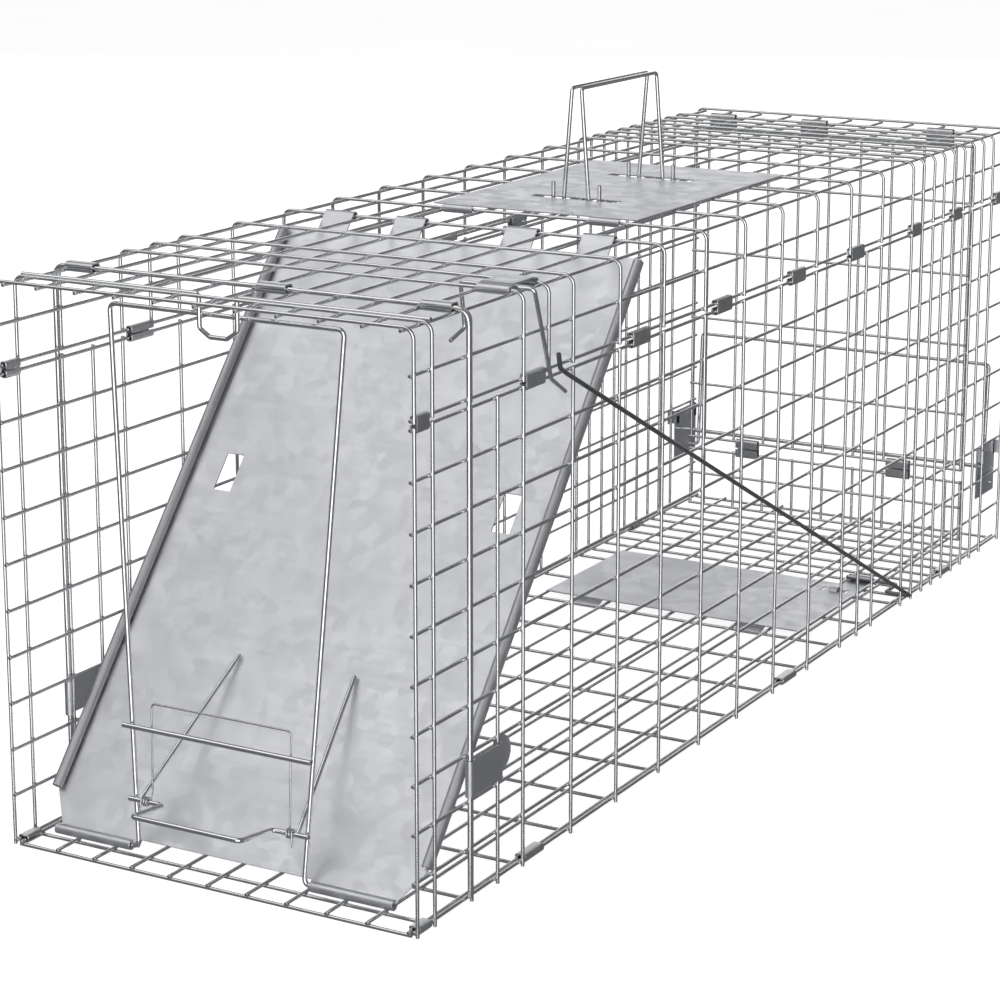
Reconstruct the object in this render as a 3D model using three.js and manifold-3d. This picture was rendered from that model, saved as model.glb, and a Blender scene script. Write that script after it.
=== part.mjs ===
// A folding live catch trap of galvanised welded mesh: four mesh panels joined by sheet clips, a
// sloping sheet door with its locking bail, a trigger pan and rod, a rear gate and two handles.
// Millimetres, +Z up. +Y runs from the mouth to the rear, +X is the right side seen from the front.
import * as THREE from "three";
import { mergeVertices } from "three/addons/utils/BufferGeometryUtils.js";
import Module from "manifold-3d";

const wasm = await Module();
wasm.setup();

// ---------- driving dimensions ----------
const HOOP_PITCH = 50.8; // between the main hoops along the length
const WIRE = 1.9; // mesh wire, square across its flats here
const SHEET = 0.8;
const GAP = 0.3; // clearance kept between neighbouring solids
const LENGTH = 794;
const FRONT = -8 * HOOP_PITCH; // the front hoop; a hoop lies at y = 0
const HALF_WIDTH = 121;
const HEIGHT = 294;
const TOP_PITCH = 23.3; // between the long wires of the top
const FLOOR_PITCH = 23.12;
const SIDE_PITCH = 24.3;
const SIDE_ROWS = 11;
const WIRES_EACH_SIDE = 5; // long wires on each side of the middle one
const SEAM_Z = 250.2; // lowest long wire of the upper shell
const SHELL_SIDE_Z = 271;
const HINGE_Y = FRONT + 5 * HOOP_PITCH; // the hoop that carries the door
const GATE_Y = FRONT + 757; // the hoop that carries the rear gate

// Distances from the front hoop. The upper shell, floor and side panels share the main hoops.
const EVEN_HOOPS = [0, 2, 3, 4, 5, 6, 7, 8, 9, 10, 11, 12].map((i) => i * HOOP_PITCH);
const MAIN_HOOPS = [...EVEN_HOOPS, 683, 757, LENGTH];
const SIDE_HOOPS = [...MAIN_HOOPS, HOOP_PITCH, 1.5 * HOOP_PITCH];
const SHELL_HOOPS = [...MAIN_HOOPS, HOOP_PITCH, 2.5 * HOOP_PITCH];

// Levels that follow from the sizes above.
const half = WIRE / 2;
const INNER_X = HALF_WIDTH - 2 * WIRE; // inner face of the side wires
const HOOP_Z = HEIGHT - half; // middle of a hoop's top run
const FLOOR_TOP = 2 * WIRE;
const SIDE_ROW_Z = 1.5 * WIRE; // middle of the side's lowest long wire
const CURL_RADIUS = 2.1; // middle of a sheet curl that turns round a mesh wire
const TAB_WIDTH = 19; // fits between two long wires

const along = (s) => FRONT + s;
const topCell = (i) => (i + 0.5) * TOP_PITCH;

// ---------- materials ----------
const steel = (color, roughness) => () =>
  new THREE.MeshStandardMaterial({ color, roughness, metalness: 1 });
const meshWire = steel(0xb9bcbf, 0.32);
const brightRod = steel(0xc9cbcd, 0.22);
const darkRod = steel(0x6f7275, 0.35);
const sheetSteel = steel(0xc4c7ca, 0.42);
const clipSteel = steel(0xadb0b3, 0.38);
const springWire = steel(0xb0b3b6, 0.28);

// ---------- shape helpers ----------
// A closed geometry as a manifold-3d solid.
function toSolid(geometry) {
  const bare = new THREE.BufferGeometry();
  bare.setAttribute("position", geometry.getAttribute("position"));
  if (geometry.index) bare.setIndex(geometry.index);
  const merged = mergeVertices(bare, 1e-4);
  return new wasm.Manifold(
    new wasm.Mesh({
      numProp: 3,
      vertProperties: merged.attributes.position.array,
      triVerts: new Uint32Array(merged.index.array),
    }),
  );
}

// A manifold-3d solid as a three.js geometry.
function toGeometry(solid) {
  const { numProp, numVert, vertProperties, triVerts } = solid.getMesh();
  const positions = new Float32Array(numVert * 3);
  for (let i = 0; i < numVert; i++) {
    positions.set(vertProperties.subarray(i * numProp, i * numProp + 3), 3 * i);
  }
  const geometry = new THREE.BufferGeometry();
  geometry.setAttribute("position", new THREE.BufferAttribute(positions, 3));
  geometry.setIndex(new THREE.BufferAttribute(new Uint32Array(triVerts), 1));
  return geometry;
}

function join(geometries) {
  return toGeometry(geometries.map(toSolid).reduce((sum, next) => sum.add(next)));
}

function box([x0, x1], [y0, y1], [z0, z1]) {
  const geometry = new THREE.BoxGeometry(x1 - x0, y1 - y0, z1 - z0);
  return geometry.translate((x0 + x1) / 2, (y0 + y1) / 2, (z0 + z1) / 2);
}

// Axis changes with whole-number entries keep touching faces exactly in one plane.
const TURNS = {
  x: new THREE.Matrix4().set(0, 0, 1, 0, 1, 0, 0, 0, 0, 1, 0, 0, 0, 0, 0, 1),
  y: new THREE.Matrix4().set(1, 0, 0, 0, 0, 0, -1, 0, 0, 1, 0, 0, 0, 0, 0, 1),
  z: new THREE.Matrix4(),
};

// Extrudes an outline along an axis: (y, z) outlines along x, (x, z) along y, (x, y) along z.
function prism(outline, axis, [from, to], holes = []) {
  const shape = new THREE.Shape(outline.map(([a, b]) => new THREE.Vector2(a, b)));
  for (const hole of holes) {
    shape.holes.push(new THREE.Path(hole.map(([a, b]) => new THREE.Vector2(a, b))));
  }
  const geometry = new THREE.ExtrudeGeometry(shape, { depth: to - from, bevelEnabled: false });
  geometry.translate(0, 0, axis === "y" ? -to : from);
  return geometry.applyMatrix4(TURNS[axis]);
}

// Points on an arc, angles in degrees.
function arc([a, b], radius, start, end, steps) {
  return Array.from({ length: steps + 1 }, (_, i) => {
    const angle = THREE.MathUtils.degToRad(start + ((end - start) * i) / steps);
    return [a + radius * Math.cos(angle), b + radius * Math.sin(angle)];
  });
}

// A bent strip of sheet: a flat path thickened evenly to both sides, then extruded.
function strip(path, axis, range, thickness = SHEET) {
  const points = path.map(([a, b]) => new THREE.Vector2(a, b));
  const normals = points.slice(1).map((p, i) => {
    const way = p.clone().sub(points[i]).normalize();
    return new THREE.Vector2(-way.y, way.x);
  });
  const side = (sign) =>
    points.map((p, i) => {
      const before = normals[Math.max(i - 1, 0)];
      const after = normals[Math.min(i, normals.length - 1)];
      const mitre = before.clone().add(after);
      const reach = (sign * thickness) / mitre.lengthSq();
      return [p.x + mitre.x * reach, p.y + mitre.y * reach];
    });
  return prism([...side(-1), ...side(1).reverse()], axis, range);
}

// A round wire along straight stretches, mitred at each corner.
function rod(path, diameter, sides = 6) {
  const points = path.map((p) => new THREE.Vector3(...p));
  const runs = points.slice(1).map((p, i) => p.clone().sub(points[i]).normalize());
  const [xAxis, yAxis] = [new THREE.Vector3(1, 0, 0), new THREE.Vector3(0, 1, 0)];
  const helper = Math.abs(runs[0].x) < 0.9 ? xAxis : yAxis;
  const u = new THREE.Vector3().crossVectors(runs[0], helper).normalize();
  const v = new THREE.Vector3().crossVectors(runs[0], u);
  const offsets = Array.from({ length: sides }, (_, k) => {
    const angle = ((k + 0.5) / sides) * 2 * Math.PI;
    const offset = u.clone().multiplyScalar(Math.cos(angle)).addScaledVector(v, Math.sin(angle));
    return offset.multiplyScalar(diameter / 2);
  });
  const positions = [];
  points.forEach((point, i) => {
    const arriving = runs[Math.max(i - 1, 0)];
    const leaving = runs[Math.min(i, runs.length - 1)];
    const plane = arriving.clone().add(leaving);
    for (const offset of offsets) {
      offset.addScaledVector(arriving, -offset.dot(plane) / arriving.dot(plane));
      positions.push(...point.clone().add(offset).toArray());
      offset.addScaledVector(leaving, -offset.dot(leaving));
    }
  });
  const index = [];
  for (let i = 0; i < points.length - 1; i++) {
    for (let k = 0; k < sides; k++) {
      const a = i * sides + k;
      const b = i * sides + ((k + 1) % sides);
      index.push(a, b, a + sides, b, b + sides, a + sides);
    }
  }
  const last = (points.length - 1) * sides;
  for (let k = 1; k < sides - 1; k++) {
    index.push(0, k + 1, k, last, last + k, last + k + 1);
  }
  const geometry = new THREE.BufferGeometry();
  geometry.setAttribute("position", new THREE.Float32BufferAttribute(positions, 3));
  return geometry.setIndex(index);
}

// Replaces each inner corner of a path by a short bend.
function bent(path, radius, steps = 3) {
  const points = path.map((p) => new THREE.Vector3(...p));
  const result = [points[0]];
  for (let i = 1; i < points.length - 1; i++) {
    const back = points[i - 1].clone().sub(points[i]);
    const on = points[i + 1].clone().sub(points[i]);
    const reach = radius / Math.tan(back.angleTo(on) / 2);
    const enter = points[i].clone().addScaledVector(back.normalize(), reach);
    const leave = points[i].clone().addScaledVector(on.normalize(), reach);
    const curve = new THREE.QuadraticBezierCurve3(enter, points[i], leave);
    result.push(...curve.getPoints(steps));
  }
  result.push(points.at(-1));
  return result.map((p) => p.toArray());
}

const mirrored = (path) => path.map(([x, y, z]) => [-x, y, z]);

// A closed path made of one half and its mirror image across x = 0.
const bothHalves = (path) => [...path, ...mirrored(path).reverse()];

function addMesh(parent, name, geometry, material) {
  const mesh = new THREE.Mesh(geometry, material());
  mesh.name = name;
  parent.add(mesh);
  return mesh;
}

// ---------- mesh panels ----------
const wireAcross = (at) => [at - half, at + half];
const WHOLE_LENGTH = [FRONT - half, FRONT + LENGTH + half];

// A pair of x values on one side of the trap, lower one first.
const onSide = (side, pair) => pair.map((x) => side * x).sort((a, b) => a - b);

function floorPanel() {
  const edge = WIRES_EACH_SIDE * FLOOR_PITCH + half;
  const hoops = [...MAIN_HOOPS, HOOP_PITCH];
  const across = hoops.map((s) => box([-edge, edge], wireAcross(along(s)), [0, WIRE]));
  const long = [];
  for (let i = -WIRES_EACH_SIDE; i <= WIRES_EACH_SIDE; i++) {
    long.push(box(wireAcross(i * FLOOR_PITCH), WHOLE_LENGTH, [WIRE, FLOOR_TOP]));
  }
  return join([...across, ...long]);
}

function sidePanel(side) {
  const outer = onSide(side, [HALF_WIDTH - WIRE, HALF_WIDTH]);
  const inner = onSide(side, [INNER_X, HALF_WIDTH - WIRE]);
  const top = SIDE_ROW_Z + (SIDE_ROWS - 1) * SIDE_PITCH + half;
  const uprights = SIDE_HOOPS.map((s) => box(outer, wireAcross(along(s)), [0, top]));
  const long = [];
  for (let i = 0; i < SIDE_ROWS; i++) {
    const z = SIDE_ROW_Z + i * SIDE_PITCH;
    long.push(box(inner, WHOLE_LENGTH, wireAcross(z)));
  }
  return join([...uprights, ...long]);
}

function upperShell() {
  const CORNER = 5.6;
  const FLAT_MARGIN = 0.05; // keeps the corner wires on the flat of the hoops
  const foot = SEAM_Z - half;
  const rounded = (x, z, radius) => [
    [x, foot],
    ...arc([x - radius, z - radius], radius, 0, 90, 2),
    ...arc([radius - x, z - radius], radius, 90, 180, 2),
    [-x, foot],
  ];
  const outline = [
    ...rounded(HALF_WIDTH, HEIGHT, CORNER),
    ...rounded(HALF_WIDTH - WIRE, HEIGHT - WIRE, CORNER - WIRE).reverse(),
  ];
  const hoops = SHELL_HOOPS.map((s) => prism(outline, "y", wireAcross(along(s))));
  const layer = [HEIGHT - 2 * WIRE, HEIGHT - WIRE];
  const long = [];
  for (let i = 1 - WIRES_EACH_SIDE; i < WIRES_EACH_SIDE; i++) {
    long.push(box(wireAcross(i * TOP_PITCH), WHOLE_LENGTH, layer));
  }
  const cornerX = HALF_WIDTH - CORNER - half - FLAT_MARGIN;
  for (const side of [-1, 1]) {
    const inner = onSide(side, [INNER_X, HALF_WIDTH - WIRE]);
    long.push(box(wireAcross(side * cornerX), WHOLE_LENGTH, layer));
    long.push(box(inner, WHOLE_LENGTH, wireAcross(SEAM_Z)));
    long.push(box(inner, WHOLE_LENGTH, wireAcross(SHELL_SIDE_Z)));
  }
  return join([...hoops, ...long]);
}

// ---------- clips that join the panels ----------
// A flattened sleeve, open along a narrow slit on its inner side, round two wires.
function clipLoop([x0, x1], [z0, z1], slit = 0.8) {
  const middle = (z0 + z1) / 2;
  const corner = 0.4;
  return [
    [x0, middle - slit / 2],
    [x0, z0 + corner],
    [x0 + corner, z0],
    [x1 - corner, z0],
    [x1, z0 + corner],
    [x1, z1 - corner],
    [x1 - corner, z1],
    [x0 + corner, z1],
    [x0, z1 - corner],
    [x0, middle + slit / 2],
  ];
}

const SEAM_CLIPS = [8, 114.3, 228.6, 330.2, 431.8, 521.5, 618.8, 692.5, 775.5];
const BASE_CLIPS = [8, 114.3, 431.8, 692.5];

const clipLength = (s) => (s < 20 ? 11 : s > 600 && s < 757 ? 14 : 19);

function addClips(parent) {
  const reach = GAP + SHEET / 2;
  const seam = clipLoop(
    [INNER_X - reach, HALF_WIDTH - WIRE + reach],
    [SEAM_Z - half - WIRE - 2.6 - reach, SEAM_Z + half + reach],
  );
  const base = clipLoop(
    [WIRES_EACH_SIDE * FLOOR_PITCH - half - reach, HALF_WIDTH - WIRE + reach],
    [WIRE - reach, FLOOR_TOP + reach],
    0.5,
  );
  const rows = [
    ["seam_clip", seam, SEAM_CLIPS],
    ["base_clip", base, BASE_CLIPS],
  ];
  for (const [name, loop, places] of rows) {
    places.forEach((s, i) => {
      const range = [along(s) - clipLength(s) / 2, along(s) + clipLength(s) / 2];
      for (const [sideName, side] of [
        ["right", 1],
        ["left", -1],
      ]) {
        const path = loop.map(([x, z]) => [side * x, z]);
        const turned = side > 0 ? path : path.reverse();
        addMesh(parent, `${sideName}_${name}_${i + 1}`, strip(turned, "y", range), clipSteel);
      }
    });
  }
}

// ---------- front frame, hook and side plates ----------
const FRAME_ROD = 2.6;
const FRAME_Y = along(HOOP_PITCH) - half - GAP - FRAME_ROD / 2;

function frontFrameRod() {
  const x = HALF_WIDTH - WIRE + GAP + FRAME_ROD / 2;
  const z = HEIGHT - WIRE + GAP + FRAME_ROD / 2;
  const halfPath = [
    [x, FRAME_Y, 3],
    [x, FRAME_Y, z],
  ];
  return rod(bent(bothHalves(halfPath), 7), FRAME_ROD, 8);
}

// A sleeve that ties the frame rod to the hoop beside it.
function frameSleeve(x) {
  const reach = GAP + SHEET / 2;
  const path = clipLoop(
    [FRAME_Y - FRAME_ROD / 2 - reach, along(HOOP_PITCH) + half + reach],
    [HEIGHT - WIRE - reach, HEIGHT - WIRE + GAP + FRAME_ROD + reach],
  );
  return strip(path, "x", [x - 8.5, x + 8.5]);
}

// The plate wraps the frame rod, runs along the wall and turns in behind the next upright.
function rodPlate(side) {
  const rodX = HALF_WIDTH - WIRE + GAP + FRAME_ROD / 2;
  const wall = HALF_WIDTH + GAP + SHEET / 2;
  const behind = along(1.5 * HOOP_PITCH) + half + GAP + SHEET / 2;
  const inside = INNER_X - 1.2;
  const turn = arc([rodX, FRAME_Y], FRAME_ROD / 2 + GAP + SHEET / 2, 190, 380, 7);
  const wallRun = [
    [wall, FRAME_Y + 3.2],
    [wall, behind],
    [inside, behind + 1.5],
    [inside, behind + 18],
  ];
  const path = [...turn, ...wallRun];
  const placed = path.map(([x, y]) => [side * x, y]);
  return strip(side > 0 ? placed : placed.reverse(), "z", [55, 73.5]);
}

const HOOK_ROD = 2.4;

// A full-width rod on the long wires whose middle drops into a ring, the up-stop of the door.
function hookRod() {
  const y = along(19);
  const z = HEIGHT - WIRE + GAP + HOOK_ROD / 2;
  const halfPath = [
    [118, y, z],
    [11, y, z],
    [11, y, 277],
    [5, y, 273],
  ];
  return rod(bent(bothHalves(halfPath), 2.2, 2), HOOK_ROD);
}

// ---------- door ----------
const DOOR_FOOT = { y: along(10.5), z: 9 }; // axis of the rolled tubes along the bottom edge
const TUBE_RADIUS = 2.3;
const DOOR_FACE = -CURL_RADIUS; // middle of the plate, in the door's own y
const FOOT_OFFSET = DOOR_FACE - TUBE_RADIUS;
const footDistance = Math.hypot(DOOR_FOOT.y - HINGE_Y, DOOR_FOOT.z - HOOP_Z);
const DOOR_LENGTH = Math.sqrt(footDistance ** 2 - FOOT_OFFSET ** 2);
const FOOT_ANGLE = Math.atan2(HINGE_Y - DOOR_FOOT.y, HOOP_Z - DOOR_FOOT.z);
const DOOR_TILT = FOOT_ANGLE - Math.atan2(-FOOT_OFFSET, DOOR_LENGTH);
const TUBE_SPAN = [54, 101];
const TAB_CELLS = [-4, -2, 1, 3];
const WINDOW_X = [80.5, 91];
const WINDOW_Z = [-176, -154];

// The plate hangs along -z from the hinge axis, with its front face towards -y.
function doorPlate() {
  const top = -11;
  const bottom = -DOOR_LENGTH;
  const edge = 111;
  const chamfer = 11;
  const halfOutline = [
    [edge, top],
    [edge, bottom + 20],
    [edge - chamfer, bottom + 2],
    [TUBE_SPAN[1] - 1, bottom],
    [TUBE_SPAN[0], bottom],
    [TUBE_SPAN[0] - 3, bottom + 4],
  ];
  const outline = [...halfOutline, ...halfOutline.map(([x, z]) => [-x, z]).reverse()];
  const windows = [-1, 1].map((side) => {
    const [x0, x1] = onSide(side, WINDOW_X);
    const [z0, z1] = WINDOW_Z;
    return [
      ...arc([x0 + 1, z0 + 1], 1, 180, 270, 2),
      ...arc([x1 - 1, z0 + 1], 1, 270, 360, 2),
      ...arc([x1 - 1, z1 - 1], 1, 0, 90, 2),
      ...arc([x0 + 1, z1 - 1], 1, 90, 180, 2),
    ];
  });
  const plate = prism(outline, "y", [DOOR_FACE - SHEET / 2, DOOR_FACE + SHEET / 2], windows);
  const curl = [...arc([0, 0], CURL_RADIUS, -60, 180, 7), [DOOR_FACE, top - 2]];
  const tabs = TAB_CELLS.map((cell) => {
    const x = topCell(cell);
    return strip(curl, "x", [x - TAB_WIDTH / 2, x + TAB_WIDTH / 2]);
  });
  const tube = [[DOOR_FACE, bottom + 3], ...arc([FOOT_OFFSET, bottom], TUBE_RADIUS, 0, -270, 9)];
  const roll = 2.5;
  const curledEdge = arc([edge, DOOR_FACE - roll], roll, 90, -150, 7);
  const rolls = [-1, 1].flatMap((side) => {
    const path = [[edge - 3, DOOR_FACE], ...curledEdge].map(([x, y]) => [side * x, y]);
    return [
      strip(side > 0 ? path : path.reverse(), "z", [bottom + 21, top - 3]),
      strip(tube, "x", onSide(side, TUBE_SPAN)),
    ];
  });
  return join([plate, ...tabs, ...rolls]);
}

// ---------- locking bail, in a frame with its origin on the tube axis and z up the legs ----------
const BAIL_ROD = 2.5;
const BAIL_TOP = { y: along(24), z: 282.8 };
const BAIL_LENGTH = Math.hypot(BAIL_TOP.y - DOOR_FOOT.y, BAIL_TOP.z - DOOR_FOOT.z);
const BAIL_LEAN = Math.atan2(BAIL_TOP.y - DOOR_FOOT.y, BAIL_TOP.z - DOOR_FOOT.z);
const LEG_FOOT_X = 49.5;
const LEG_TOP_X = 68;
const LEVER_ROD = 2.6;
const LEVER_HEIGHT = 25.5; // pivot above the tube axis
const LEVER_FORWARD = -(BAIL_ROD + LEVER_ROD) / 2 - GAP;

const legX = (height) => LEG_FOOT_X + ((LEG_TOP_X - LEG_FOOT_X) * height) / BAIL_LENGTH;

function lockBail() {
  const halfPath = [
    [86, 0, 0],
    [LEG_FOOT_X, 0, 0],
    [LEG_TOP_X, 0, BAIL_LENGTH],
  ];
  return rod(bent(bothHalves(halfPath), 3.5), BAIL_ROD, 8);
}

function bailCrossbar() {
  const CROSSBAR_ROD = 2.8;
  const y = -(BAIL_ROD + CROSSBAR_ROD) / 2 - GAP;
  const height = 63;
  return rod([[-legX(height) - 4, y, height], [legX(height) + 1, y, height]], CROSSBAR_ROD, 8);
}

// One bent rod: a pedal in front, two pivots on the bail's legs and two arms that rest on the door.
function lockLever() {
  const pedalX = 32.5;
  const armX = 47;
  const pedal = bent(
    bothHalves([
      [legX(LEVER_HEIGHT) + 2.6, LEVER_FORWARD, LEVER_HEIGHT],
      [pedalX, LEVER_FORWARD, LEVER_HEIGHT],
      [pedalX - 0.5, LEVER_FORWARD - 27, LEVER_HEIGHT + 2],
    ]),
    3,
  );
  const arms = [-1, 1].map((side) => {
    const path = [
      [side * armX, LEVER_FORWARD, LEVER_HEIGHT],
      ...ARM_POINTS.map(([x, y, z]) => [side * x, y, z]),
    ];
    return rod(path, 2.2);
  });
  return join([rod(pedal, LEVER_ROD), ...arms]);
}

// The arms' bends and tips, found in the bail's frame from places on the door's front face.
const ARM_POINTS = [
  [37.5, DOOR_LENGTH - 89.5, 4],
  [35, DOOR_LENGTH - 109, 0],
].map(([x, down, lift]) => {
  const out = -DOOR_FACE + SHEET / 2 + 1.1 + GAP + lift;
  const y = HINGE_Y - out * Math.cos(DOOR_TILT) - down * Math.sin(DOOR_TILT) - DOOR_FOOT.y;
  const z = HOOP_Z + out * Math.sin(DOOR_TILT) - down * Math.cos(DOOR_TILT) - DOOR_FOOT.z;
  const [c, s] = [Math.cos(BAIL_LEAN), Math.sin(BAIL_LEAN)];
  return [x, y * c - z * s, y * s + z * c];
});

// A double torsion spring: a coil round each lever pivot and a bridge that bears on the crossbar.
function lockSpring() {
  const TURNS_EACH = 3;
  const STEPS = 8;
  const spring = 1;
  const coilRadius = LEVER_ROD / 2 + GAP + spring / 2;
  const coil = Array.from({ length: TURNS_EACH * STEPS + 1 }, (_, i) => {
    const angle = (2 * Math.PI * i) / STEPS;
    const x = 45 - 1.5 * (i / STEPS);
    const [y, z] = [coilRadius * Math.cos(angle), coilRadius * Math.sin(angle)];
    return [x, LEVER_FORWARD - y, LEVER_HEIGHT + z];
  });
  const start = [45.6, LEVER_FORWARD - coilRadius, LEVER_HEIGHT - 6];
  const leg = [
    [41, LEVER_FORWARD + coilRadius + 0.4, LEVER_HEIGHT + 6],
    [41.5, -0.85, 76],
  ];
  return rod(bothHalves([start, ...coil.slice(0, -4), ...leg]), spring, 5);
}

// ---------- trigger: prop lever, rod and pan ----------
const PROP_ROD = 2.2;
const PROP_AXIS = { y: along(107.5), z: HEIGHT - WIRE + GAP + PROP_ROD / 2 };
const PROP_OUT_X = HALF_WIDTH + 0.5 + PROP_ROD / 2;
const PROP_IN_X = topCell(3);

function propLever() {
  const { y, z } = PROP_AXIS;
  const path = [
    [PROP_IN_X - 2, y - 7, 265],
    [PROP_IN_X, y + 4, 270],
    [PROP_IN_X, y, z],
    [PROP_OUT_X, y, z],
    [PROP_OUT_X, along(122.5), 252],
    [PROP_OUT_X, along(125), 246],
    [PROP_OUT_X, along(139.7), 237],
  ];
  return rod(bent(path, 1.8, 2), PROP_ROD);
}

// A cover over the prop lever's axle, rolled round the hoop in front and bent down behind.
function leverBracket() {
  const [front, rear] = [along(2 * HOOP_PITCH), along(2.5 * HOOP_PITCH)];
  const cover = HEIGHT - WIRE + PROP_ROD + 2 * GAP + SHEET / 2 + 0.3;
  const path = [
    ...arc([front, HOOP_Z], CURL_RADIUS, 300, 110, 6),
    [front + 3, cover],
    [rear - 2, cover],
    ...arc([rear, HOOP_Z], CURL_RADIUS, 80, -80, 5),
  ];
  return strip(path, "x", [94.9, 113]);
}

const TRIGGER_ROD = 2.5;
const TRIGGER_X = PROP_OUT_X + (PROP_ROD + TRIGGER_ROD) / 2 + 0.4;
const CRANK_X = 108; // inside the wall, where the rod steps forward of its pivot
const CRANK_Y = along(613.8);
const ROD_PIVOT = { y: along(634), z: 6.8 };
const PAN_AXIS = { y: along(10 * HOOP_PITCH), z: half };

function triggerRod() {
  const { y, z } = ROD_PIVOT;
  const path = [
    [72, y, z],
    [CRANK_X, y, z],
    [CRANK_X, CRANK_Y, z],
    [TRIGGER_X, CRANK_Y, z],
    [TRIGGER_X, along(136), 247],
    [TRIGGER_X, along(129), 251],
    [TRIGGER_X, along(127), 259],
  ];
  return rod(bent(path, 2.5), TRIGGER_ROD, 8);
}

function triggerPan() {
  const z = FLOOR_TOP + 0.5 + SHEET / 2;
  const front = PAN_AXIS.y + 5;
  const rear = along(623);
  const plate = box([-91, 91], [front, rear], [z - SHEET / 2, z + SHEET / 2]);
  const hook = [
    ...arc([PAN_AXIS.y, PAN_AXIS.z], CURL_RADIUS, 190, 60, 6),
    [front - 1, z - 0.6],
    [front + 1, z],
  ];
  const hooks = [-1, 1].map((side) => strip(hook, "x", side > 0 ? [49, 67] : [-67, -49]));
  const eye = [[rear - 1, z], ...arc([ROD_PIVOT.y, ROD_PIVOT.z], ROD_PIVOT.z - z, 270, 520, 8)];
  const lances = box([72, 78], [along(604), along(612)], [z, z + 3]);
  return join([plate, ...hooks, strip(eye, "x", [74, 91]), lances]);
}

// ---------- rear gate, its flap, lock rod and bail ----------
const GATE_HALF = 105;
const GATE_TOP_DEPTH = 9;
const GATE_LEVELS = [245, 195, 146, 97, 57];
const FLAP_TOP = 48;
const FLAP_BOTTOM = 6;
const GATE_BARS = [-4, -3, -2, -1, 0, 1, 2, 3, 4];

// Upright bars on the rear of level bars, between two heights.
function gateMesh(levels, top, bottom) {
  const level = levels.map((z) => box([-GATE_HALF, GATE_HALF], wireAcross(GATE_Y), wireAcross(z)));
  const bars = GATE_BARS.map((i) => i * TOP_PITCH).concat(-GATE_HALF + half, GATE_HALF - half);
  const behind = [GATE_Y + half, GATE_Y + half + WIRE];
  const upright = bars.map((x) => box(wireAcross(x), behind, [bottom, top]));
  return join([...level, ...upright]);
}

function rearGate() {
  const top = HOOP_Z - GATE_TOP_DEPTH;
  return gateMesh([top, ...GATE_LEVELS], top + half, GATE_LEVELS.at(-1) - half);
}

const rearFlap = () => gateMesh([FLAP_TOP, 30, FLAP_BOTTOM + half], FLAP_TOP + half, FLAP_BOTTOM);

// A sheet loop round two parallel wires, one above the other, open along a slit in front.
function twinSleeve(x, upper, lower, width) {
  const path = [
    [GATE_Y - CURL_RADIUS, (upper + lower) / 2 + 0.5],
    ...arc([GATE_Y, upper], CURL_RADIUS, 180, 0, 5),
    ...arc([GATE_Y, lower], CURL_RADIUS, 0, -180, 5),
    [GATE_Y - CURL_RADIUS, (upper + lower) / 2 - 0.5],
  ];
  return strip(path, "x", [x - width / 2, x + width / 2], 0.6);
}

const LOCK_ROD = 3;
const LOCK_Y = GATE_Y + half + WIRE + 0.45 + LOCK_ROD / 2;
const LOCK_Z = 60.5;
const REAR_BAIL_ROD = 2.5;
const REAR_BAIL_AXIS = { y: along(785), z: 44 };

function rearLockRod() {
  const z = LOCK_Z;
  const path = [
    [-118.5, LOCK_Y, z],
    [118.5, LOCK_Y, z],
  ];
  return rod(path, LOCK_ROD, 8);
}

function rearBail() {
  const { y, z } = REAR_BAIL_AXIS;
  const halfPath = [
    [118.5, y, z],
    [111, y, z],
    [111, y + 5, 127],
  ];
  return rod(bent(bothHalves(halfPath), 3), REAR_BAIL_ROD, 8);
}

// A plate inside the side wall with a tab round each of the two rearmost uprights.
function rearBracket(side) {
  const inside = INNER_X - GAP - SHEET / 2;
  const span = [along(756), along(791)];
  const outline = [
    [span[0], 38],
    [span[1], 38],
    [span[1], 74],
    [span[0], 74],
  ];
  const ring = ([y, z], radius) => arc([y, z], radius, 0, 315, 7);
  const holes = [
    ring([LOCK_Y, LOCK_Z], LOCK_ROD / 2 + 0.5),
    ring([REAR_BAIL_AXIS.y, REAR_BAIL_AXIS.z], REAR_BAIL_ROD / 2 + 0.5),
  ];
  const faces = onSide(side, [inside - SHEET / 2, inside + SHEET / 2]);
  const plate = prism(outline, "x", faces, holes);
  const tab = (upright, way) => {
    const centre = [HALF_WIDTH - half, upright];
    const path = [
      [inside, upright + way * CURL_RADIUS],
      ...arc(centre, CURL_RADIUS, way * 90, -way * 100, 6),
    ].map(([x, y]) => [side * x, y]);
    const lengthened = [[side * inside, upright + way * 6], ...path];
    return strip(side * way > 0 ? lengthened.reverse() : lengthened, "z", [64, 73.5]);
  };
  return join([plate, tab(GATE_Y, 1), tab(along(LENGTH), -1)]);
}

// ---------- handle ----------
const HANDLE_X = topCell(0);
const HANDLE_ROD = 2.4;
const HANDLE_FEET = [358.6, 454.2];
const GUARD_Z = HEIGHT + GAP + SHEET / 2;

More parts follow.
